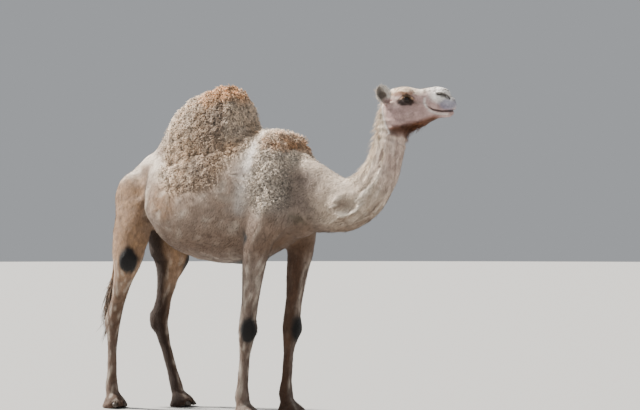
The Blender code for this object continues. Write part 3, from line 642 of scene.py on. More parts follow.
def fieldsOf(mesh):
    # where each kind of coat grows, from 0 to 1, and how it lies
    points, normals = pointsOf(mesh), normalsOf(mesh)
    p = points - belowHump
    x, _, z = p.T
    forward, left, up = headPlace(points)
    _, neckShare, neckHeading = alongPath(points, neckPath)
    f = SimpleNamespace(points=points, normals=normals, p=p, forward=forward, left=left, up=up,
                        neckShare=neckShare)
    jaw = smooth(-0.02, 0.05, forward + 0.35 * up)
    f.head = fade(0.27, 0.33, fromHead(points)) * jaw * smooth(1.72, 1.78, z)
    f.neck = smooth(0.74, 0.9, x + 0.15 * (z - 1.4)) * (z > 1.0)
    f.neck = f.neck * (1 - f.head) * fade(0.0, 0.1, 1.12 - z)
    earLie = earFields(f)
    f.tail = fade(0.055, 0.085, alongPath(points, tailPath[1:])[0])
    f.tail *= smooth(0.8, 0.86, -x) * fade(1.36, 1.44, z)
    f.legs = fade(0.93, 1.08, z) * (1 - f.tail)
    f.legNear = np.full(len(points), 1e9)
    legHeading = np.zeros((len(points), 3))
    breast = blob(points, at(0.35, 0, 0.985), (0.15, 0.1, 0.05), 0.3)
    pads = [breast] + [blob(points, at(0.49, side * 0.29, 1.14), (0.04, 0.05, 0.048), 0.35, 0.2, 5, 0.03)
                       for side in sides]
    for name, path in legs.items():
        away, _, heading = alongPath(points, path)
        nearer = away < f.legNear
        f.legNear[nearer] = away[nearer]
        legHeading[nearer] = heading[nearer]
        pads.append(blob(points, padPlaces[name], padRadii[name[:4]], 0.22, 0.07, 7, 0.03))
    f.pads = np.maximum.reduce(pads)
    f.bare = np.maximum(f.pads, fade(0.012, 0.04, z))

    # down and backwards on the trunk, more backwards above and below; then each part's own lie
    lie = np.tile(np.array((-0.55, 0.0, -0.83)), (len(points), 1))
    lie[:, 0] -= 0.8 * smooth(0.2, 0.8, -normals[:, 2])
    lie[:, 0] -= 0.9 * smooth(0.5, 0.95, normals[:, 2])
    own = [(f.neck, -neckHeading * 0.75 + np.array((0, 0, -0.62))), (f.head, -headForward - headUp * 0.35),
           (f.legs, legHeading + (0, 0, -0.3)), (f.tail, np.array((0, 0, -1.0))), (f.ears, earLie)]
    for share, heading in own:
        lie = lie * (1 - share[:, None]) + heading * share[:, None]
    lie = lie + 0.25 * np.stack([ripple(points, 0.06, 20 + i) for i in range(3)], axis=1)
    lie -= normals * (lie * normals).sum(axis=1, keepdims=True)
    f.lie = unit(lie)

    # curly wool on the hump, down the flank below it, and on the withers and shoulder
    border = 0.07 * ripple(points, 0.1, 8) + 0.04 * ripple(points, 0.035, 9)
    ovals = [np.hypot((x - middleX) / halfLong, (z - middleZ) / halfTall) + border
             for middleX, middleZ, halfLong, halfTall in woolOvals.values()]
    f.wool = fade(0.76, 1.24, np.minimum(*ovals[:2])) * smooth(1.36, 1.46, z)
    f.shoulder = fade(0.66, 1.4, np.minimum(*ovals[2:]))
    f.apex = blob(points, at(0.15, 0, 2.08), (0.17, 0.24, 0.105), 0.35, 0.12, 9, 0.05)
    f.strip = bell(x - 0.47 - 0.06 * (z - 1.5), 0.036) * smooth(1.24, 1.34, z) * fade(1.7, 1.78, z)
    f.wool *= 1 - 0.9 * f.strip
    f.shoulder *= (1 - 0.9 * f.strip) * (1 - f.neck * 0.7)
    back = -(normals @ np.array((1.0, 0.3, -0.2)))
    f.nape = f.neck * smooth(0.25, 0.7, back) * smooth(0.45, 0.6, neckShare)
    f.throat = blob(points, headOrigin + headForward * 0.11 - headUp * 0.145, (0.13, 0.06, 0.06), 0.4)
    f.jaw = blob(points, headOrigin + headForward * 0.175 - headUp * 0.14, (0.105, 0.05, 0.045), 0.4)
    return f


def coatDepth(f):
    # how far the skin lies below the surface of the coat
    depth = 0.005 * np.ones(len(f.p))
    depth += 0.01 * f.wool + 0.0075 * f.shoulder + 0.003 * f.apex
    depth += 0.002 * f.neck + 0.004 * f.nape
    depth += 0.0085 * ripple(f.points, 0.034, 40) * np.maximum(f.wool, f.shoulder)
    for share, less in ((f.legs, 0.45), (f.head, 0.7), (f.ears, 0.75), (f.bare, 0.8)):
        depth = depth * (1 - less * share)
    return depth


# colours as the eye reads them, 0 to 255
tones = {
    "flank": (138, 121, 108), "cream": (192, 171, 150), "pale": (244, 232, 215), "tan": (156, 126, 100),
    "gold": (186, 146, 98), "khaki": (122, 90, 58), "rust": (222, 170, 120), "umber": (70, 48, 34),
    "throat": (96, 56, 28), "belly": (94, 70, 52), "greyBrown": (112, 99, 91), "mauve": (192, 162, 158),
    "dirt": (78, 78, 68), "leather": (12, 9, 9), "lip": (140, 138, 158), "dark": (34, 25, 21),
    "white": (240, 237, 232),
}
browLine = [(0.114, 0.022), (0.126, 0.04), (0.146, 0.053), (0.172, 0.057), (0.2, 0.05), (0.216, 0.034)]
lidLine = [(0.13, 0.034), (0.15, 0.045), (0.172, 0.048), (0.196, 0.041), (0.208, 0.03)]
mouthCorner = [(0.276, 0.034), (0.273, 0.008), (0.288, -0.018)]
lowerLip = [(0.3, -0.036), (0.345, -0.058), (0.41, -0.062)]
jawEdge = [(0.05, -0.152), (0.168, -0.136), (0.347, -0.078), (0.4, -0.066)]


def linear(seen):
    seen = np.array(seen) / 255
    return np.where(seen <= 0.04045, seen / 12.92, ((seen + 0.055) / 1.055) ** 2.4)


def markings(f):
    # the colours that skin and coat share, laid over each other
    points = f.points
    x, y, z = f.p.T
    nx, ny, nz = f.normals.T
    forward, left, up = f.forward, f.left, f.up
    head, neck, limbs, wool, shoulder = f.head, f.neck, f.legs, f.wool, f.shoulder
    colour = np.tile(linear(tones["flank"]), (len(points), 1))

    def dab(mask, name, strength=1.0):
        nonlocal colour
        share = (np.clip(mask, 0, 1) * strength)[:, None]
        colour = colour * (1 - share) + linear(tones[name]) * share

    def flecks(low, high, size, seed, stretch=(1, 1, 1)):
        return smooth(low, high, ripple(points * stretch, size, seed))

    def line(stops):
        return lineDistance(forward, up, stops)[0]

    patches = 0.5 + 0.5 * ripple(points, 0.1, 11)
    fine = 0.5 + 0.5 * ripple(points, 0.028, 12)
    dab(patches, "tan", 0.25)
    dab(flecks(0.25, 0.8, 0.055, 31) * (1 - head), "greyBrown", 0.3)
    # painted shade: underside and lower flank darker and browner; painted highlight: the top of the back and
    # other upward-facing surfaces paler
    low = fade(0.98, 1.34, z) * (1 - limbs) * fade(0.62, 0.8, x)
    dab(low, "belly", 0.85)
    dab(low * fade(0.98, 1.22, z), "umber", 0.6)
    dab(fade(1.2, 1.55, z) * (1 - neck) * (1 - head) * (0.5 + 0.5 * patches), "greyBrown", 0.35)
    dab(smooth(0.2, 0.85, nz) * (1 - head), "pale", 0.82)
    for side in sides:
        stain = blob(points, at(-0.12, side * 0.3, 1.37), (0.15, 0.2, 0.12), 0.5, 0.2, 13)
        dab(stain * (0.5 + 0.5 * fine), "khaki", 0.75)
    dab(f.strip * (0.45 + 0.55 * patches), "white", 0.7)
    # haunch and thigh
    haunch = fade(-0.42, -0.35, x) * smooth(0.75, 1.0, z)
    dab(haunch * fade(1.44, 1.6, z), "tan", 0.75)
    # painted shade: the lower haunch darker
    dab(haunch * fade(1.3, 1.5, z), "belly", 0.25)
    dab(haunch * smooth(0.35, 0.75, fine) * fade(1.5, 1.66, z), "gold", 0.2)
    worn = (0.35 + 0.65 * smooth(1.08, 1.26, z)) * fade(1.56, 1.68, z)
    dab(haunch * (0.4 + 0.6 * flecks(0.1, 0.7, 0.016, 37)) * worn, "umber", 0.46)
    # painted shadow along the crease in front of the haunch
    dab(flankCrease(f.p), "dark", 0.85)
    dirty = smooth(-0.5, -0.3, x) * fade(0.3, 0.45, x) * fade(1.3, 1.42, z)
    dab(dirty * flecks(0.4, 0.75, 0.03, 50) * (0.3 + 0.7 * patches), "umber", 0.6)
    dab(flecks(0.2, 0.8, 0.045, 51) * (1 - haunch) * (1 - low), "pale", 0.22)
    # wool: rust at the top of the hump and withers; painted shade in the middle of its side, painted
    # highlights on its backward- and forward-facing slopes
    dab(wool, "cream", 0.9)
    dab(wool * patches, "gold", 0.5)
    # painted highlights on the wool's backward- and forward-facing slopes, painted shade in the middle of the
    # hump's side
    dab(wool * smooth(-0.3, 0.7, -nx), "pale", 0.5)
    dab(wool * bell(x - 0.17, 0.15), "greyBrown", 0.42)
    dab(wool * smooth(0.35, 0.8, nx), "pale", 0.35)
    dab(f.apex * (0.55 + 0.45 * fine), "rust", 0.85)
    crown = blob(points, at(0.68, 0, 1.74), (0.17, 0.26, 0.085), 0.35, 0.15, 14, 0.05)
    dab(crown * shoulder * (0.5 + 0.5 * fine), "rust", 0.62)
    dab(shoulder * (1 - crown), "pale", 0.55)
    # neck: greyer streaked sides, pale crest line, painted shade under the bend
    dab(neck, "cream", 0.8)
    dab(neck * smooth(0.15, 0.45, f.neckShare) * (0.3 + 0.7 * patches), "pale", 0.3)
    dab(neck * fine, "greyBrown", 0.25)
    # painted shade on the downward-facing underside of the bend
    dab(neck * smooth(0.35, 0.9, -nz) * fade(1.45, 1.65, z), "belly", 0.75)
    strands = neck * (0.35 + 0.65 * smooth(0.45, 0.65, f.neckShare))  # long hair hangs in strands
    dab(strands * flecks(0.0, 0.7, 0.013, 41, (1, 1, 0.14)), "greyBrown", 0.34)
    dab(strands * flecks(0.1, 0.8, 0.015, 42, (1, 1, 0.14)), "pale", 0.34)
    front = smooth(0.0, 0.6, f.normals @ np.array((0.9, -0.1, 0.0)))
    dab(neck * smooth(0.55, 0.75, f.neckShare) * front, "mauve", 0.35)
    # painted shade in the neck's hollows and furrows, painted highlight along its cords
    for side in sides:
        ridge, hollow, furrow = neckRelief(points, side)
        dab(hollow * neck, "umber", 0.8)
        dab(furrow * neck, "umber", 0.62)
        dab(ridge * neck, "pale", 0.92)
    base = fade(0.9, 1.08, x) * smooth(0.64, 0.76, x) * fade(1.48, 1.62, z)
    dab(base * (0.6 + 0.4 * patches), "greyBrown", 0.92)
    dab(f.nape, "pale", 0.85)
    dab(f.nape * fine, "gold", 0.5)
    for side in sides:
        dab(blob(points, at(0.84, side * 0.19, 1.235), (0.075, 0.09, 0.035), 0.5, 0.3, 15, 0.03), "dirt", 0.8)
        dab(blob(points, at(0.42, side * 0.3, 1.575), (0.022, 0.06, 0.022), 0.5), "umber", 0.6)
    # painted shade under the chest
    dab(blob(points, at(0.7, 0, 1.12), (0.26, 0.26, 0.15), 0.4, 0.2, 16), "belly", 0.6)
    # legs: tan above, greyer and dirtier below, painted shade on their inner sides
    hind = (x < 0) * limbs
    dab(hind, "tan", 0.5)
    dab(hind * fade(0.62, 0.94, z), "umber", 0.74)
    dab(limbs * (x > 0), "greyBrown", 0.7)
    dab(fade(0.42, 0.66, z) * limbs, "greyBrown", 0.5)
    dab(fade(0.5, 0.9, z) * limbs, "umber", 0.28)
    dab(limbs * flecks(-0.1, 0.7, 0.045, 32), "umber", 0.38)
    dab(fade(0.05, 0.12, z), "umber", 0.35)
    dab(limbs * flecks(0.1, 0.8, 0.022, 43, (1, 1, 0.4)), "pale", 0.22)
    dab(limbs * flecks(0.1, 0.8, 0.018, 44, (1, 1, 0.5)), "umber", 0.3)
    # painted shade on the legs' inner sides, darkest on the hind legs
    inner = smooth(0.1, 0.8, -ny * np.sign(y))
    inner *= 1 - np.where(x < 0, smooth(1.2, 1.32, z), smooth(0.98, 1.16, z))
    inner *= 1 - 0.9 * (x < 0) * smooth(0.1, 0.5, nx) * smooth(0.62, 0.8, z)
    dab(inner, "umber", 0.9)
    dab(inner * (x < 0), "dark", 0.75)
    dab(f.tail, "tan", 0.5)
    # head: mauve cheeks, gold brow, white muzzle
    dab(head, "mauve", 0.85)
    # painted highlight: upward-facing parts of the head paler
    dab(head * smooth(0.1, 0.7, nz) * smooth(-0.03, 0.02, up), "pale", 0.8)
    hairs = flecks(0.1, 0.7, 0.012, 36)
    dab(head * fade(0.17, 0.25, forward) * smooth(0.045, 0.07, up) * (0.55 + 0.45 * hairs), "gold", 0.72)
    dab(head * fade(0.2, 0.27, forward) * smooth(0.04, 0.07, up) * hairs, "umber", 0.3)
    dab(head * flecks(0.1, 0.7, 0.03, 34) * fade(0.2, 0.3, forward), "greyBrown", 0.22)
    above = smooth(0.01, 0.05, up + 0.4 * (forward - 0.3))
    dab(head * smooth(0.27, 0.335, forward) * above, "white", 0.85)
    dab(head * smooth(0.22, 0.3, forward) * fade(-0.04, -0.01, up), "mauve", 0.35)
    dab(head * bell(line(mouthCorner), 0.007), "white", 0.6)
    dab(head * bell(line(lowerLip), 0.008), "white", 0.5)
    lip = np.hypot((forward - 0.418) / 0.06, (up + 0.004) / 0.038) + 0.15 * ripple(points, 0.02, 17)
    dab(head * fade(0.5, 1.3, lip) * fade(0.5, 0.9, nz), "lip", 0.8)
    freckles = flecks(0.15, 0.6, 0.011, 18)
    dab(head * freckles * smooth(0.2, 0.3, forward) * smooth(0.1, 0.6, nz), "umber", 0.7)
    # painted shade under the jaw, darkest just under its edge; the throat and the jaw's underside share a
    # warm brown that is partly their own colour and partly painted shade
    overJaw = up - np.interp(forward, *zip(*jawEdge))
    under = head * fade(0.0, 0.034, overJaw) * fade(0.32, 0.39, forward)
    dab(under, "throat", 0.9)
    dab(under * fade(-0.012, 0.01, overJaw), "dark", 0.45)
    dab(np.maximum(f.throat, f.jaw), "throat", 0.65)
    # painted highlight along the raised fold behind the jaw
    seam, seamSide, seamTop = seamBehindJaw(forward, left, up, z)
    dab(seam * seamSide * seamTop, "white", 0.7)
    # eyes
    onSide = head * smooth(0.03, 0.045, np.abs(left))
    for side in sides:
        _, radius, facing, along, edge = lidField(points, side)
        near = (facing > 0.0) * fade(0.036, 0.046, radius)
        dab(near * bell(edge - 30, 14) * smooth(0, 20, along), "gold", 0.35)
        # a dark patch round the eye: dark lids and lashes, with painted shade under the brow
        patch = np.hypot((forward - 0.164) / 0.058, (up - 0.016) / 0.026) + 0.1 * ripple(points, 0.012, 35)
        patch = fade(0.7, 1.1, patch) * (left * side > 0.03) * head
        dab(patch * (1 - 0.75 * bell(edge - 15, 6) * smooth(0, 12, along)), "dark", 0.94)
        dab(near * fade(7, 17, edge), "dark", 0.97)
        # painted shade in the crease of the upper lid
        dab(near * bell(edge - 20, 4.5) * smooth(-10, 10, along), "dark", 0.7)
        # painted shade under the brow
        dab(onSide * bell(line(browLine), 0.004), "dark", 0.45)
        dab(onSide * bell(line(lidLine), 0.0042) * smooth(7, 12, edge), "gold", 0.34)
        dab(bell(np.hypot(forward - 0.214, up - 0.012), 0.018) * (left * side > 0), "umber", 0.65)
    # mouth and nostrils: painted shade in the mouth's seam and the nostril slits
    dab(head * bell(line(mouthLine), 0.0056) * smooth(0.26, 0.32, forward), "dark", 0.94)
    away, share = lineDistance(forward, up, nostrilLine)
    gape = 0.0055 + 0.0072 * np.sin(np.pi * np.clip(share, 0, 1)) ** 1.2
    slit = head * bell(away, gape) * smooth(0.01, 0.02, np.abs(left)) * fade(0.93, 1.0, share)
    dab(slit, "dark", 0.95)
    dab(f.ears, "pale", 0.7)
    dab(f.earInside * (1 - f.earEdge), "dark", 0.88)
    dab(f.earEdge, "white", 0.9)
    dab(f.pads, "leather")
    return np.clip(colour, 0, 1)


def turnOf(across, upward):
    return np.arctan2(across, upward) / (2 * math.pi) + 0.5


def unwrapped(f):
    # an unwrap of the skin round its own axes: trunk, neck with head, and each leg has a tile
    x, y, z = f.p.T
    place = np.zeros((len(x), 3))
    place[:, 0] = 0.02 + 0.56 * np.clip((x + 0.95) / 1.95, 0, 1)
    place[:, 1] = 0.02 + 0.56 * turnOf(y, z - 1.4)
    onNeck = (f.neck > 0.5) | (f.head > 0.5) | (f.ears > 0.5)
    across = np.cross((0, 0, 1), (math.cos(0.31), math.sin(0.31), 0.0))
    away = f.points - np.asarray(neckPath)[np.clip((f.neckShare * 7).astype(int), 0, 7)]
    neckTurn = turnOf(away @ across, away @ np.array((-0.7, -0.2, 0.7)))
    turn = np.where(f.head > 0.5, turnOf(f.left, f.up + 0.02), neckTurn)
    rise = f.neckShare + np.clip(f.forward / 1.4, 0, 1)
    place[onNeck, 0] = 0.62 + 0.35 * turn[onNeck]
    place[onNeck, 1] = 0.02 + 0.56 * np.clip(rise[onNeck] / 1.5, 0, 1)
    for i, path in enumerate(legs.values()):
        mine = (f.legs > 0.5) & (alongPath(f.points, path)[0] <= f.legNear + 1e-6)
        middleX, middleY = (np.interp(z, [0, 0.15, 0.56, 1.0], [path[k][axis] for k in (4, 3, 2, 1)])
                            for axis in range(2))
        turn = turnOf(f.points[:, 1] - middleY, f.points[:, 0] - middleX)
        place[mine, 0] = 0.02 + 0.24 * i + 0.21 * turn[mine]
        place[mine, 1] = 0.62 + 0.35 * np.clip(z[mine] / 1.1, 0, 1)
    return place


def faceClearing(f):
    # 0 where no hair grows on the face: in the eyes, on the lips' edge and in the nostrils
    eyeClear = np.ones(len(f.p))
    for side in sides:
        _, radius, facing, _, edge = lidField(f.points, side)
        eyeClear *= np.maximum(smooth(7, 16, edge), np.maximum(smooth(0.036, 0.042, radius), facing < 0.05))
    lips, slit = (lineDistance(f.forward, f.up, stops)[0] for stops in (mouthLine, nostrilLine))
    return eyeClear * smooth(0.006, 0.012, lips) * smooth(0.01, 0.016, slit)


def markedSkin(piece):
    mesh = piece.data
    f = fieldsOf(mesh)
    setPoints(mesh, f.points - f.normals * coatDepth(f)[:, None])
    colour = markings(f)
    putAttribute(mesh, "tint", "FLOAT_COLOR", np.concatenate((colour, np.ones((len(colour), 1))), axis=1))
    putAttribute(mesh, "lie", "FLOAT_VECTOR", f.lie)
    putAttribute(mesh, "rootPlace", "FLOAT_VECTOR", unwrapped(f))
    bodyOnly = (1 - f.neck) * (1 - f.head) * (1 - f.legs)
    shown = fade(0.3, 0.6, f.bare)
    fields = {
        "leather": f.pads,
        "onHead": f.head,
        "onTrunk": bodyOnly * (1 - f.tail) * (1 - f.ears),
        "woolly": np.maximum(f.wool, f.shoulder),
        "withers": f.shoulder,
        "neckCoat": f.neck * (1 - 0.9 * f.shoulder),
        "napeCoat": np.maximum(f.nape, 0.8 * f.throat),
        "throatHair": f.jaw * smooth(0.2, 0.7, -f.normals[:, 2]),
        "bodyCoat": bodyOnly * (1 - f.wool) * (1 - f.shoulder) * (1 - f.tail) * (1 - f.ears) * shown
                    * (1 - flankCrease(f.p)),
        "legCoat": np.maximum(f.legs, f.tail) * shown,
        "headCoat": np.maximum(f.head * faceClearing(f), f.ears),
        "tailCoat": f.tail * fade(0.78, 0.9, f.p[:, 2]),
        "earRim": f.ears * f.earEdge,
    }
    right, crown = f.p[:, 1] < 0, f.p[:, 2] > 1.8
    for level, high in (("Top", crown), ("Side", ~crown)):
        fields[f"hump{level}Right"] = f.wool * right * high
        fields[f"hump{level}Left"] = f.wool * ~right * high
    for name, values in fields.items():
        putAttribute(mesh, name, "FLOAT", np.clip(values, 0, 1))


class Wire:
    # a socket that can be added and multiplied
    def __init__(self, sheet, socket):
        self.sheet, self.socket = sheet, socket


for sign, operation in (("add", "ADD"), ("sub", "SUBTRACT"), ("mul", "MULTIPLY"), ("truediv", "DIVIDE"),
                        ("pow", "POWER")):
    def plain(self, other, operation=operation):
        return self.sheet.math(operation, self, other)

    def reflected(self, other, operation=operation):
        return self.sheet.math(operation, other, self)

    setattr(Wire, f"__{sign}__", plain)
    setattr(Wire, f"__r{sign}__", reflected)


class Sheet:
    # a node tree, shader or geometry, that nodes are added to
    def __init__(self, tree):
        self.tree = tree

    def join(self, sockets, node):
        for key, value in sockets.items():
            if isinstance(value, Wire):
                self.tree.links.new(value.socket, node.inputs[key])
            else:
                node.inputs[key].default_value = value

    def add(self, kind, settings=None, sockets=None, out=None):
        node = self.tree.nodes.new(kind)
        for key, value in (settings or {}).items():
            setattr(node, key, value)
        self.join(sockets or {}, node)
        shown = [s for s in node.outputs if s.enabled and out in (None, s.name)]
        return Wire(self, shown[0])

    def outputs(self, wire, *names):
        # more outputs of the node that the wire comes from
        shown = {s.name: s for s in wire.socket.node.outputs if s.enabled}
        return [Wire(self, shown[name]) for name in names]

    def math(self, operation, *values):
        return self.add("ShaderNodeMath", {"operation": operation}, dict(enumerate(values)))

    def vector(self, operation, *values):
        keys = (0, "Scale") if operation == "SCALE" else range(len(values))
        return self.add("ShaderNodeVectorMath", {"operation": operation}, dict(zip(keys, values)))

    def xyz(self, x=0.0, y=0.0, z=0.0):
        return self.add("ShaderNodeCombineXYZ", None, {0: x, 1: y, 2: z})

    def random(self, low, high, seed):
        return self.add("FunctionNodeRandomValue", {"data_type": "FLOAT"}, {2: low, 3: high, "Seed": seed})

    def stored(self, geometry, label, what, kind="FLOAT", domain="POINT"):
        return self.add("GeometryNodeStoreNamedAttribute", {"data_type": kind, "domain": domain},
                        {"Geometry": geometry, "Name": label, "Value": what})

    def aimed(self, heading, upward):
        return self.add("FunctionNodeAxesToRotation", {"primary_axis": "X", "secondary_axis": "Z"},
                        {"Primary Axis": heading, "Secondary Axis": upward})

    def strand(self, end, steps, bend, radius, taper, marked=False):
        # a three-sided tube along X, bent and narrowed by functions of the share of its length
        along = self.add("GeometryNodeSplineParameter", None, None, "Factor")
        line = self.add("GeometryNodeCurvePrimitiveLine", None, {"Start": (0, 0, 0), "End": end})
        line = self.add("GeometryNodeResampleCurve", None, {"Curve": line, "Count": steps})
        line = self.add("GeometryNodeSetPosition", None, {"Geometry": line, "Offset": bend(along)})
        ring = self.add("GeometryNodeCurvePrimitiveCircle", {"mode": "RADIUS"},
                        {"Resolution": 3, "Radius": radius})
        if marked:
            line, ring = self.stored(line, "along", along), self.stored(ring, "around", along)
        return self.add("GeometryNodeCurveToMesh", None, {
            "Curve": line, "Profile Curve": ring, "Scale": taper(along), "Fill Caps": True})

    def planted(self, points, what, rotation, scale):
        made = self.add("GeometryNodeInstanceOnPoints", None, {
            "Points": points, "Instance": what, "Rotation": rotation, "Scale": scale})
        return self.add("GeometryNodeRealizeInstances", None, {"Geometry": made})


def newTree(name, output, **inputs):
    # a geometry tree whose inputs are named under their kinds
    tree = bpy.data.node_groups.new(name, "GeometryNodeTree")
    for kind, labels in inputs.items():
        for label in labels:
            tree.interface.new_socket(label, in_out="INPUT", socket_type="NodeSocket" + kind)
    tree.interface.new_socket(output, in_out="OUTPUT", socket_type="NodeSocketGeometry")
    sheet = Sheet(tree)
    given = tree.nodes.new("NodeGroupInput")
    return sheet, {s.name: Wire(sheet, s) for s in given.outputs if s.name}


def endTree(sheet, made, material):
    made = sheet.add("GeometryNodeSetMaterial", None, {"Geometry": made, "Material": material})
    sheet.join({0: made}, sheet.tree.nodes.new("NodeGroupOutput"))
    return sheet.tree


def runTree(piece, tree, values):
    row = piece.modifiers.new("row", "NODES")
    row.node_group = tree
    for item in tree.interface.items_tree:
        if item.name in values:
            row[item.identifier] = values[item.name]


def tuftTree(name, field, roll):
    # locks of hair scattered where the field is, leaning along the coat's lie
    sheet, value = newTree(
        name, "Coat", Geometry=["Skin"],
        Float=["Spacing", "Length", "Width", "Flatness", "Curl", "Turns", "Arch", "Lift", "Spread", "Clump",
               "Clump Size"],
        Int=["Steps", "Seed"], Material=["Finish"])

    def draws(low, high, offset):
        return sheet.random(low, high, value["Seed"] + offset)

    def attribute(label, kind="FLOAT"):
        return sheet.add("GeometryNodeInputNamedAttribute", {"data_type": kind}, {"Name": label})

    spacing = value["Spacing"]
    scattered = sheet.add("GeometryNodeDistributePointsOnFaces", {"distribute_method": "POISSON"},
                          {"Mesh": value["Skin"], "Distance Min": spacing,
                           "Density Max": 1.6 / (spacing * spacing),
                           "Density Factor": attribute(field), "Seed": value["Seed"]})
    normal = sheet.outputs(scattered, "Normal")[0]
    points = sheet.stored(scattered, "shade", draws(0.0, 1.0, 1))

    # neighbouring locks lean together into clumps
    position = sheet.add("GeometryNodeInputPosition")
    cells = sheet.add("ShaderNodeTexVoronoi", {"feature": "F1", "voronoi_dimensions": "3D"},
                      {"Vector": position, "Scale": 1.0 / value["Clump Size"]})
    reach, centre = sheet.outputs(cells, "Distance", "Position")
    toCentre = sheet.vector("SUBTRACT", centre, position)
    toCentre = sheet.vector("SCALE", toCentre, value["Clump"] / value["Clump Size"])
    points = sheet.stored(points, "clump", reach)
    gathered = sheet.vector("SCALE", toCentre, 0.16 * value["Clump Size"])
    points = sheet.add("GeometryNodeSetPosition", None, {"Geometry": points, "Offset": gathered})
    lie = sheet.vector("ADD", attribute("lie", "FLOAT_VECTOR"), toCentre)
    lie = sheet.add("ShaderNodeVectorRotate", {"rotation_type": "AXIS_ANGLE"},
                    {"Vector": lie, "Axis": normal, "Angle": draws(-1.0, 1.0, 2) * value["Spread"]})
    lie = sheet.vector("NORMALIZE", lie)
    heading = sheet.vector("ADD", lie, sheet.vector("SCALE", normal, value["Lift"] * draws(0.4, 1.5, 3)))
    rolled = sheet.add("FunctionNodeAxisAngleToRotation", None,
                       {"Axis": (1, 0, 0), "Angle": draws(-math.pi, math.pi, 4) * roll})
    rotation = sheet.add("FunctionNodeRotateRotation", {"rotation_space": "LOCAL"},
                         {"Rotation": sheet.aimed(heading, normal), "Rotate By": rolled})
    length = value["Width"] * draws(0.6, 1.35, 5) * (0.35 + attribute(field) * 0.65)
    width = value["Width"] * draws(0.7, 1.3, 6)

    # one lock, in units of its width, bows and coils along its length
    def coiled(along):
        angle = along * value["Turns"] * (2 * math.pi)
        swing = value["Curl"] * along ** 0.5
        bow = value["Arch"] * along * (1.0 - along) * 4.0
        return sheet.xyz(0.0, sheet.math("SINE", angle) * swing,
                         (1.0 - sheet.math("COSINE", angle)) * swing + bow)

    def tapered(along):
        return (1.0 - along) ** 0.6 * (0.65 + along * 1.1) + 0.03

    slender = sheet.xyz(value["Length"] / value["Width"])
    lock = sheet.strand(slender, value["Steps"], coiled, 0.5, tapered, marked=True)
    lock = sheet.add("GeometryNodeSetShadeSmooth", None, {"Geometry": lock, "Shade Smooth": True})
    made = sheet.planted(points, lock, rotation, sheet.xyz(length, width, width * value["Flatness"]))
    patch = sheet.vector("SCALE", sheet.xyz(attribute("around"), attribute("along")), 0.003)
    place = sheet.vector("ADD", attribute("rootPlace", "FLOAT_VECTOR"), patch)
    return endTree(sheet, sheet.stored(made, "OFBake", place, "FLOAT2", "CORNER"), value["Finish"])


def triangleCount(mesh):
    return sum(len(face.vertices) - 2 for face in mesh.polygons)


# sizes of one lock in metres; wool coils, the other hair lies flat
coilRoll, flatRoll = 1.0, 0.12
wool = {
    "Spacing": 0.0045, "Length": 0.025, "Width": 0.0044, "Flatness": 0.9, "Curl": 0.9, "Turns": 1.35,
    "Arch": 0.9, "Lift": 0.38, "Spread": 1.3, "Clump": 0.8, "Clump Size": 0.029, "Steps": 6,
}
hair = {
    "Spacing": 0.0088, "Length": 0.028, "Width": 0.0032, "Flatness": 0.24, "Curl": 0.3, "Turns": 0.7,
    "Arch": 0.6, "Lift": 0.035, "Spread": 0.3, "Clump": 0.25, "Clump Size": 0.03, "Steps": 3,
}
# the pieces of the coat: field it grows on, finish, slot, and sizes
coatPieces = {
    f"hump{level}Wool{side}": (f"hump{level}{side}", "curly wool", "wool", {"Seed": seed + i})
    for level, seed in (("Top", 11), ("Side", 21)) for i, side in enumerate(sides.values())
}
coatPieces.update({
    "withersWool": ("withers", "curly wool", "coat", {"Spacing": 0.0052, "Seed": 13}),
    "neckCoat": ("neckCoat", "rough coat hair", "coat", {
        "Spacing": 0.0066, "Length": 0.024, "Width": 0.0026, "Lift": 0.09, "Seed": 14}),
    "napeHair": ("napeCoat", "rough coat hair", "coat", {
        "Spacing": 0.0046, "Length": 0.055, "Width": 0.0026, "Lift": 0.26, "Spread": 0.5, "Steps": 4,
        "Seed": 15}),
    "throatHair": ("throatHair", "rough coat hair", "coat", {
        "Spacing": 0.005, "Length": 0.038, "Width": 0.0026, "Lift": 0.85, "Spread": 0.4, "Steps": 4,
        "Seed": 22}),
    "bodyCoat": ("bodyCoat", "rough coat hair", "coat", {
        "Spacing": 0.0103, "Length": 0.024, "Lift": 0.05, "Seed": 16}),
    "legCoat": ("legCoat", "short coat hair", "coat", {
        "Spacing": 0.0092, "Length": 0.019, "Width": 0.0028, "Seed": 17}),
    "headCoat": ("headCoat", "short coat hair", "coat", {
        "Spacing": 0.0037, "Length": 0.0095, "Width": 0.0013, "Lift": 0.06, "Seed": 18}),
    "earFringe": ("earRim", "short coat hair", "coat", {
        "Spacing": 0.0024, "Length": 0.019, "Width": 0.0011, "Lift": 0.35, "Flatness": 0.6, "Spread": 0.5,
        "Steps": 4, "Seed": 20}),
    "tailTuft": ("tailCoat", "tail hair", "tail_hair", {
        "Spacing": 0.0042, "Length": 0.15, "Width": 0.0042, "Lift": 0.06, "Spread": 0.12, "Steps": 6,
        "Arch": 2.0, "Curl": 1.2, "Seed": 19}),
})
keptAttributes = {"position", "tint", "along", "shade", "clump", "OFBake", "material_index", "sharp_face"}


def coat(skinPiece):
    finishes = {name: hairFinish(name, **looks) for name, looks in hairLooks.items()}
    for name, (field, finish, slotName, sizes) in coatPieces.items():
        curly = finish == "curly wool"
        piece = newPiece(name, skinPiece.data.copy())
        tree = tuftTree(name + "Tufts", field, coilRoll if curly else flatRoll)
        runTree(piece, tree, {**(wool if curly else hair), **sizes, "Finish": finishes[finish]})
        mesh = applied(piece)
        for extra in [a.name for a in mesh.attributes if a.name not in keptAttributes and a.name[0] != "."]:
            mesh.attributes.remove(mesh.attributes[extra])
        print(f"{name}: {triangleCount(mesh)} triangles")
        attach(piece, body)


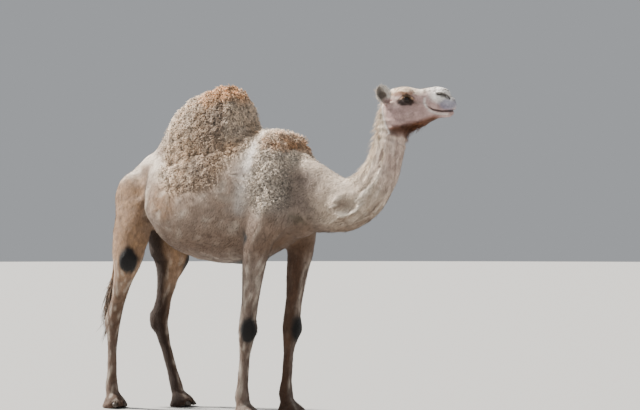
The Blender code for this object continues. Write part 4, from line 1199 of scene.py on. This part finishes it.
class Finish(Sheet):
    # a material's own sheet, with Object coordinates at hand
    def __init__(self, name):
        self.material = bpy.data.materials.new(name)
        self.material.use_nodes = True
        super().__init__(self.material.node_tree)
        self.shader = self.tree.nodes["Principled BSDF"]
        self.place = self.add("ShaderNodeTexCoord", None, None, "Object")

    def attribute(self, name, out="Fac"):
        return self.add("ShaderNodeAttribute", {"attribute_name": name}, None, out)

    def noise(self, scale, detail=2.0, stretch=None, turn=(0, 0, 0)):
        place = self.place
        if stretch:
            place = self.add("ShaderNodeMapping", None, {"Vector": place, "Rotation": turn, "Scale": stretch})
        return self.add("ShaderNodeTexNoise", None, {"Vector": place, "Scale": scale, "Detail": detail})

    def cells(self, feature, scale):
        return self.add("ShaderNodeTexVoronoi", {"feature": feature}, {"Vector": self.place, "Scale": scale},
                        "Distance")

    def bump(self, strength, depth, height):
        return self.add("ShaderNodeBump", None, {"Strength": strength, "Distance": depth, "Height": height})

    def shaded(self, colour, light):
        light = self.add("ShaderNodeCombineColor", None, {0: light, 1: light, 2: light})
        return self.add("ShaderNodeMix", {"data_type": "RGBA", "blend_type": "MULTIPLY"},
                        {0: 1.0, 6: colour, 7: light})

    def ramp(self, stops, share):
        wire = self.add("ShaderNodeValToRGB", None, {"Fac": share})
        elements = wire.socket.node.color_ramp.elements
        while len(elements) < len(stops):
            elements.new(0.5)
        for element, (place, colour) in zip(elements, stops):
            element.position, element.color = place, (*colour, 1)
        return wire

    def finished(self, sockets):
        self.join(sockets, self.shader)
        return self.material


def skinFinish():
    sheet = Finish("camel skin and short coat")
    tint = sheet.attribute("tint", "Color")
    leather, woolly, onHead, onTrunk = map(sheet.attribute, ("leather", "woolly", "onHead", "onTrunk"))

    def noise(scale, detail=3.0, stretch=(1, 1, 1), turn=(0, 0, 0)):
        return sheet.noise(scale, detail, stretch, turn)

    mottle = noise(14.0) * 0.4 + noise(38.0) * 0.35 + noise(90.0) * 0.25
    # hair is drawn out along its lie: down and backwards on the trunk, backwards on the head, down elsewhere
    headTurn = math.atan2(headForward[1], headForward[0])
    down = noise(230.0, 3.0, (1.0, 1.0, 0.13)) * 0.6 + noise(62.0, 2.0, (1.0, 1.0, 0.12)) * 0.4
    backward = noise(230.0, 3.0, (1.0, 1.0, 0.13), (0, -0.58, 0))
    overHead = noise(330.0, 3.0, (0.15, 1.0, 1.0), (0, 0, -headTurn))
    streak = down * (1.0 - onHead) * (1.0 - onTrunk) + backward * onTrunk * (1.0 - onHead) + overHead * onHead
    specks = sheet.math("GREATER_THAN", noise(120.0, 1.0), 0.7) * 0.22
    shade = (1.0 + (mottle - 0.5) * 1.8 + (streak - 0.5) * 1.1) * (1.0 - specks)
    curls = sheet.cells("F1", 52.0)
    # painted shade on the skin under the wool, deepest between the curls
    shade = shade * (1.0 - woolly * (0.2 + 0.55 * sheet.math("MINIMUM", curls * 1.1, 1.0)))
    wrinkles = sheet.math("MINIMUM", sheet.cells("DISTANCE_TO_EDGE", 95.0) * 3.0, 0.5)
    height = (1.0 - leather) * (streak * 0.7 + mottle * 0.5 - woolly * curls * 2.2)
    height = height + leather * (wrinkles + noise(220.0) * 0.3)
    return sheet.finished({
        "Base Color": sheet.shaded(tint, shade), "Normal": sheet.bump(0.8, 0.004, height),
        "Roughness": 0.86 - leather * 0.3, "Specular IOR Level": 0.25, "Sheen Weight": 0.05,
        "Sheen Roughness": 0.5})


# how light the hair is at its root and tip, the darker root being painted shade, and how strongly locks
# differ
hairLooks = {
    "curly wool": {"root": 0.34, "tip": 2.0, "contrast": 1.0, "sheen": 0.15},
    "short coat hair": {"root": 0.86, "tip": 1.02, "contrast": 0.5, "sheen": 0.02},
    "rough coat hair": {"root": 0.8, "tip": 1.18, "contrast": 0.85, "sheen": 0.02},
    "tail hair": {"root": 0.4, "tip": 0.75, "contrast": 1.0, "sheen": 0.15},
}


def hairFinish(name, root, tip, contrast, sheen):
    sheet = Finish(name)
    along, shade, clump = map(sheet.attribute, ("along", "shade", "clump"))
    mottle = sheet.noise(24.0, 3.0)
    # painted shade: darker towards each lock's root and towards the edges of its clump
    light = (root + along * (tip - root)) * (0.76 + shade * 0.42) * (0.6 + mottle * 0.8)
    light = light * (1.42 - clump) * contrast + (1.0 - contrast)
    return sheet.finished({"Base Color": sheet.shaded(sheet.attribute("tint", "Color"), light),
                           "Roughness": 0.72, "Specular IOR Level": 0.2, "Sheen Weight": sheen})


def eyeFinish():
    sheet = Finish("dark brown eye")
    colour = sheet.ramp([
        (0.0, (0.004, 0.003, 0.003)), (0.3, (0.005, 0.004, 0.004)), (0.36, (0.012, 0.006, 0.004)),
        (0.72, (0.018, 0.009, 0.005)), (0.8, (0.006, 0.004, 0.003)), (1.0, (0.06, 0.038, 0.028))],
        sheet.attribute("iris") + (sheet.noise(420.0, 3.0) - 0.5) * 0.05)
    return sheet.finished({"Base Color": colour, "Roughness": 0.1, "Specular IOR Level": 0.22,
                           "Coat Weight": 0.08, "Coat Roughness": 0.02})


def lashFinish():
    sheet = Finish("lash hair")
    colour = sheet.ramp([(0.3, (0.01, 0.007, 0.005)), (0.7, (0.045, 0.028, 0.018))], sheet.noise(300.0))
    return sheet.finished({"Base Color": colour, "Roughness": 0.5})


def nailFinish():
    sheet = Finish("dark horn")
    bands = sheet.noise(90.0, 4.0)
    colour = sheet.ramp([(0.25, (0.03, 0.022, 0.017)), (0.75, (0.11, 0.085, 0.065))], bands)
    return sheet.finished({"Base Color": colour, "Normal": sheet.bump(0.4, 0.001, bands), "Roughness": 0.42})


def floorFinish():
    return Finish("pale studio floor").finished({"Base Color": (0.35, 0.345, 0.335, 1), "Roughness": 0.9})


eyeSizes = {"bulge": 0.045, "bulgeFrom": 0.76, "bulgeTo": 0.9, "pupilWide": 1.35, "pupilTall": 0.8}


def eyePiece(side, finish):
    node = sideNode("eye", side)
    centre, outward, ahead, above = eyeAxes(side)
    mesh = bpy.data.meshes.new(node + "Ball")
    with shaping(mesh) as shape:
        bmesh.ops.create_uvsphere(shape, u_segments=48, v_segments=32, radius=eyeRadius)
    mesh.transform(Vector((0, 0, 1)).rotation_difference(Vector(outward)).to_matrix().to_4x4())
    points = pointsOf(mesh)
    facing = points @ outward / eyeRadius
    points *= (1 + eyeSizes["bulge"] * smooth(eyeSizes["bulgeFrom"], eyeSizes["bulgeTo"], facing))[:, None]
    # the pupil is a level oval, the iris round
    wide, tall = points @ ahead / eyeRadius, points @ above / eyeRadius
    pupil = np.hypot(wide / eyeSizes["pupilWide"], tall / eyeSizes["pupilTall"])
    iris = np.minimum(1, np.maximum(np.hypot(wide, tall) * 1.15, np.minimum(pupil, 0.34)))
    setPoints(mesh, points + centre)
    putAttribute(mesh, "iris", "FLOAT", np.where(facing > 0, iris, 1))
    mesh.shade_smooth()
    mesh.materials.append(finish)
    piece = newPiece("eyeball" + sides[side], mesh)
    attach(piece, body)
    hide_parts(node)


nailSizes = {"ringHeight": 0.00035, "ringSpacing": 0.0045, "taper": 0.3, "flatten": 0.45, "hook": 0.0075}


def nailPiece(node, finish):
    # a rounded, slightly hooked nail with growth rings
    mesh = bpy.data.meshes.new(node + "Horn")
    with shaping(mesh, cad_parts[node].data) as shape:
        merged(shape)
    piece = newPiece(node.replace("_nail_", "Nail_"), mesh)
    finer = piece.modifiers.new("finer", "SUBSURF")
    finer.levels = finer.render_levels = 2
    mesh = applied(piece)
    points, normals = pointsOf(mesh), normalsOf(mesh)
    centre = boxed(node)[0]
    heading = toeHeading(node[:4] + ("Right" if "right" in node else "Left"))
    away = (points - centre) @ heading
    rings = nailSizes["ringHeight"] * np.sin(away * 2 * math.pi / nailSizes["ringSpacing"])
    points = points + normals * rings[:, None]
    tip = smooth(-0.004, 0.024, away)
    beside = np.cross(heading, headUp)
    across = (points - centre) @ beside
    points = points - beside * (across * nailSizes["taper"] * tip)[:, None]
    over = points[:, 2] - centre[2]
    points[:, 2] = centre[2] + over * (1 - nailSizes["flatten"] * tip) - nailSizes["hook"] * tip
    setPoints(mesh, np.maximum(points, (-9, -9, 0.001)))  # never below the floor
    mesh.shade_smooth()
    mesh.materials.clear()
    mesh.materials.append(finish)
    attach(piece, body)
    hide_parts(node)


lashSizes = {"Count": 64, "Length": 0.024, "Width": 0.0013, "Bow": 0.35, "Seed": 31}
lashRow = {"from": -52, "to": 48, "above": 3, "clear": 0.0045}  # degrees along the lid's edge, and metres


def lidCurve(side):
    # the edge of the upper lid, from the back corner to the front one
    centre, outward, ahead, above = eyeAxes(side)
    lidEdge = bpy.data.curves.new("lidEdge", "CURVE")
    lidEdge.dimensions = "3D"
    stops = np.radians(np.linspace(lashRow["from"], lashRow["to"], 15))
    spline = lidEdge.splines.new("POLY")
    spline.points.add(len(stops) - 1)
    for point, across in zip(spline.points, stops):
        degrees = math.degrees(across)
        t = (degrees - opening["middle"]) / opening["halfWidth"]
        arch = math.sqrt(max(0, 1 - t * t))
        along = math.radians(opening["upper"] * arch + opening["slope"] * degrees + lashRow["above"])
        level = outward * math.cos(across) + ahead * math.sin(across)
        heading = level * math.cos(along) + above * math.sin(along)
        point.co = (*(centre + heading * (eyeRadius + lashRow["clear"])), 1)
    return lidEdge


def lashTree():
    sheet, value = newTree("lashRow", "Lashes", Geometry=["Edge"], Float=["Length", "Width", "Bow"],
                           Int=["Count", "Seed"], Vector=["Middle", "Outward", "Down"], Material=["Finish"])
    points = sheet.add("GeometryNodeCurveToPoints", {"mode": "COUNT"},
                       {"Curve": value["Edge"], "Count": value["Count"]}, "Points")
    away = sheet.vector("SUBTRACT", sheet.add("GeometryNodeInputPosition"), value["Middle"])
    heading = sheet.vector("ADD", sheet.vector("NORMALIZE", away),
                           sheet.vector("ADD", value["Outward"], value["Down"]))
    chance = sheet.add("FunctionNodeRandomValue", {"data_type": "FLOAT_VECTOR"},
                       {0: (-0.22, -0.22, -0.22), 1: (0.22, 0.22, 0.22), "Seed": value["Seed"]})
    heading = sheet.vector("ADD", heading, chance)
    lash = sheet.strand((1, 0, 0), 5, lambda along: sheet.xyz(z=along * along * value["Bow"]),
                        value["Width"] / value["Length"] * 0.5, lambda along: 1.05 - along)
    length = value["Length"] * sheet.random(0.65, 1.15, value["Seed"] + 1)
    made = sheet.planted(points, lash, sheet.aimed(heading, sheet.vector("SCALE", value["Down"], -1.0)),
                         sheet.xyz(length, length, length))
    return endTree(sheet, made, value["Finish"])


def lashes(side, finish):
    centre, outward, _, above = eyeAxes(side)
    edge = newPiece("lidEdge", lidCurve(side))
    runTree(edge, lashTree(), {**lashSizes, "Middle": tuple(centre), "Outward": tuple(outward * 0.7),
                               "Down": tuple(above * -0.55), "Finish": finish})
    piece = newPiece("lashes" + sides[side], evaluatedMesh(edge))
    bpy.data.objects.remove(edge)
    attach(piece, body)


# the camera's place: distance and height in metres, degrees round the animal from its side;
# aside and tilt are the slopes by which it looks past the middle of the body
view = {"distance": 10.4, "height": 1.15, "round": 42, "aside": 0.0675, "tilt": 0.01875}
# direction towards the lamp, strength, degrees across, colour
lamps = {
    "key": ((-0.66, -0.16, 0.74), 14.5, 7, (1.0, 0.965, 0.91)),
    "fill": ((0.75, -0.75, 0.45), 0.45, 60, (0.93, 0.96, 1.0)),
}
sky = {"Color": (0.83, 0.86, 0.9, 1), "Strength": 0.44}


def cameraAndLight():
    scene = bpy.context.scene
    around = math.radians(view["round"])
    heading = around - math.atan(view["aside"])
    pitch = math.atan(view["tilt"])
    level = math.cos(pitch)
    forward = Vector((-math.sin(heading) * level, math.cos(heading) * level, math.sin(pitch)))
    data = bpy.data.cameras.new("camera")
    data.lens, data.sensor_width = 90, 36
    camera = newPiece("camera", data)
    camera.location = Vector(at(view["distance"] * math.sin(around), -view["distance"] * math.cos(around),
                                view["height"]))
    camera.rotation_euler = forward.to_track_quat("-Z", "Y").to_euler()
    scene.camera = camera
    for name, (direction, energy, angle, colour) in lamps.items():
        light = bpy.data.lights.new(name, "SUN")
        light.energy, light.angle, light.color = energy, math.radians(angle), colour
        holder = newPiece(name, light)
        holder.rotation_euler = Vector(direction).to_track_quat("Z", "Y").to_euler()
        holder.location = (0, 0, 6)
    scene.world = bpy.data.worlds.new("studio")
    scene.world.use_nodes = True
    for key, value in sky.items():
        scene.world.node_tree.nodes["Background"].inputs[key].default_value = value


def studioFloor():
    mesh = bpy.data.meshes.new("floor")
    with shaping(mesh) as shape:
        bmesh.ops.create_circle(shape, cap_ends=True, segments=96, radius=60)
    mesh.materials.append(floorFinish())
    floor = newPiece("floor", mesh)


def build():
    cameraAndLight()
    studioFloor()
    print("camera, lamps and floor set")
    skinPiece = skin()
    markedSkin(skinPiece)
    skinPiece.data.materials.clear()
    skinPiece.data.materials.append(skinFinish())
    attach(skinPiece, body)
    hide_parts(*fleshNodes)
    print("skin:", triangleCount(skinPiece.data), "triangles")
    coat(skinPiece)
    eyeMaterial = eyeFinish()
    for side in sides:
        eyePiece(side, eyeMaterial)
        lashes(side, lashFinish())
    print("eyes and lashes made")
    horn = nailFinish()
    for node in nailNodes:
        nailPiece(node, horn)
    print("nails made:", len(nailNodes))


build()
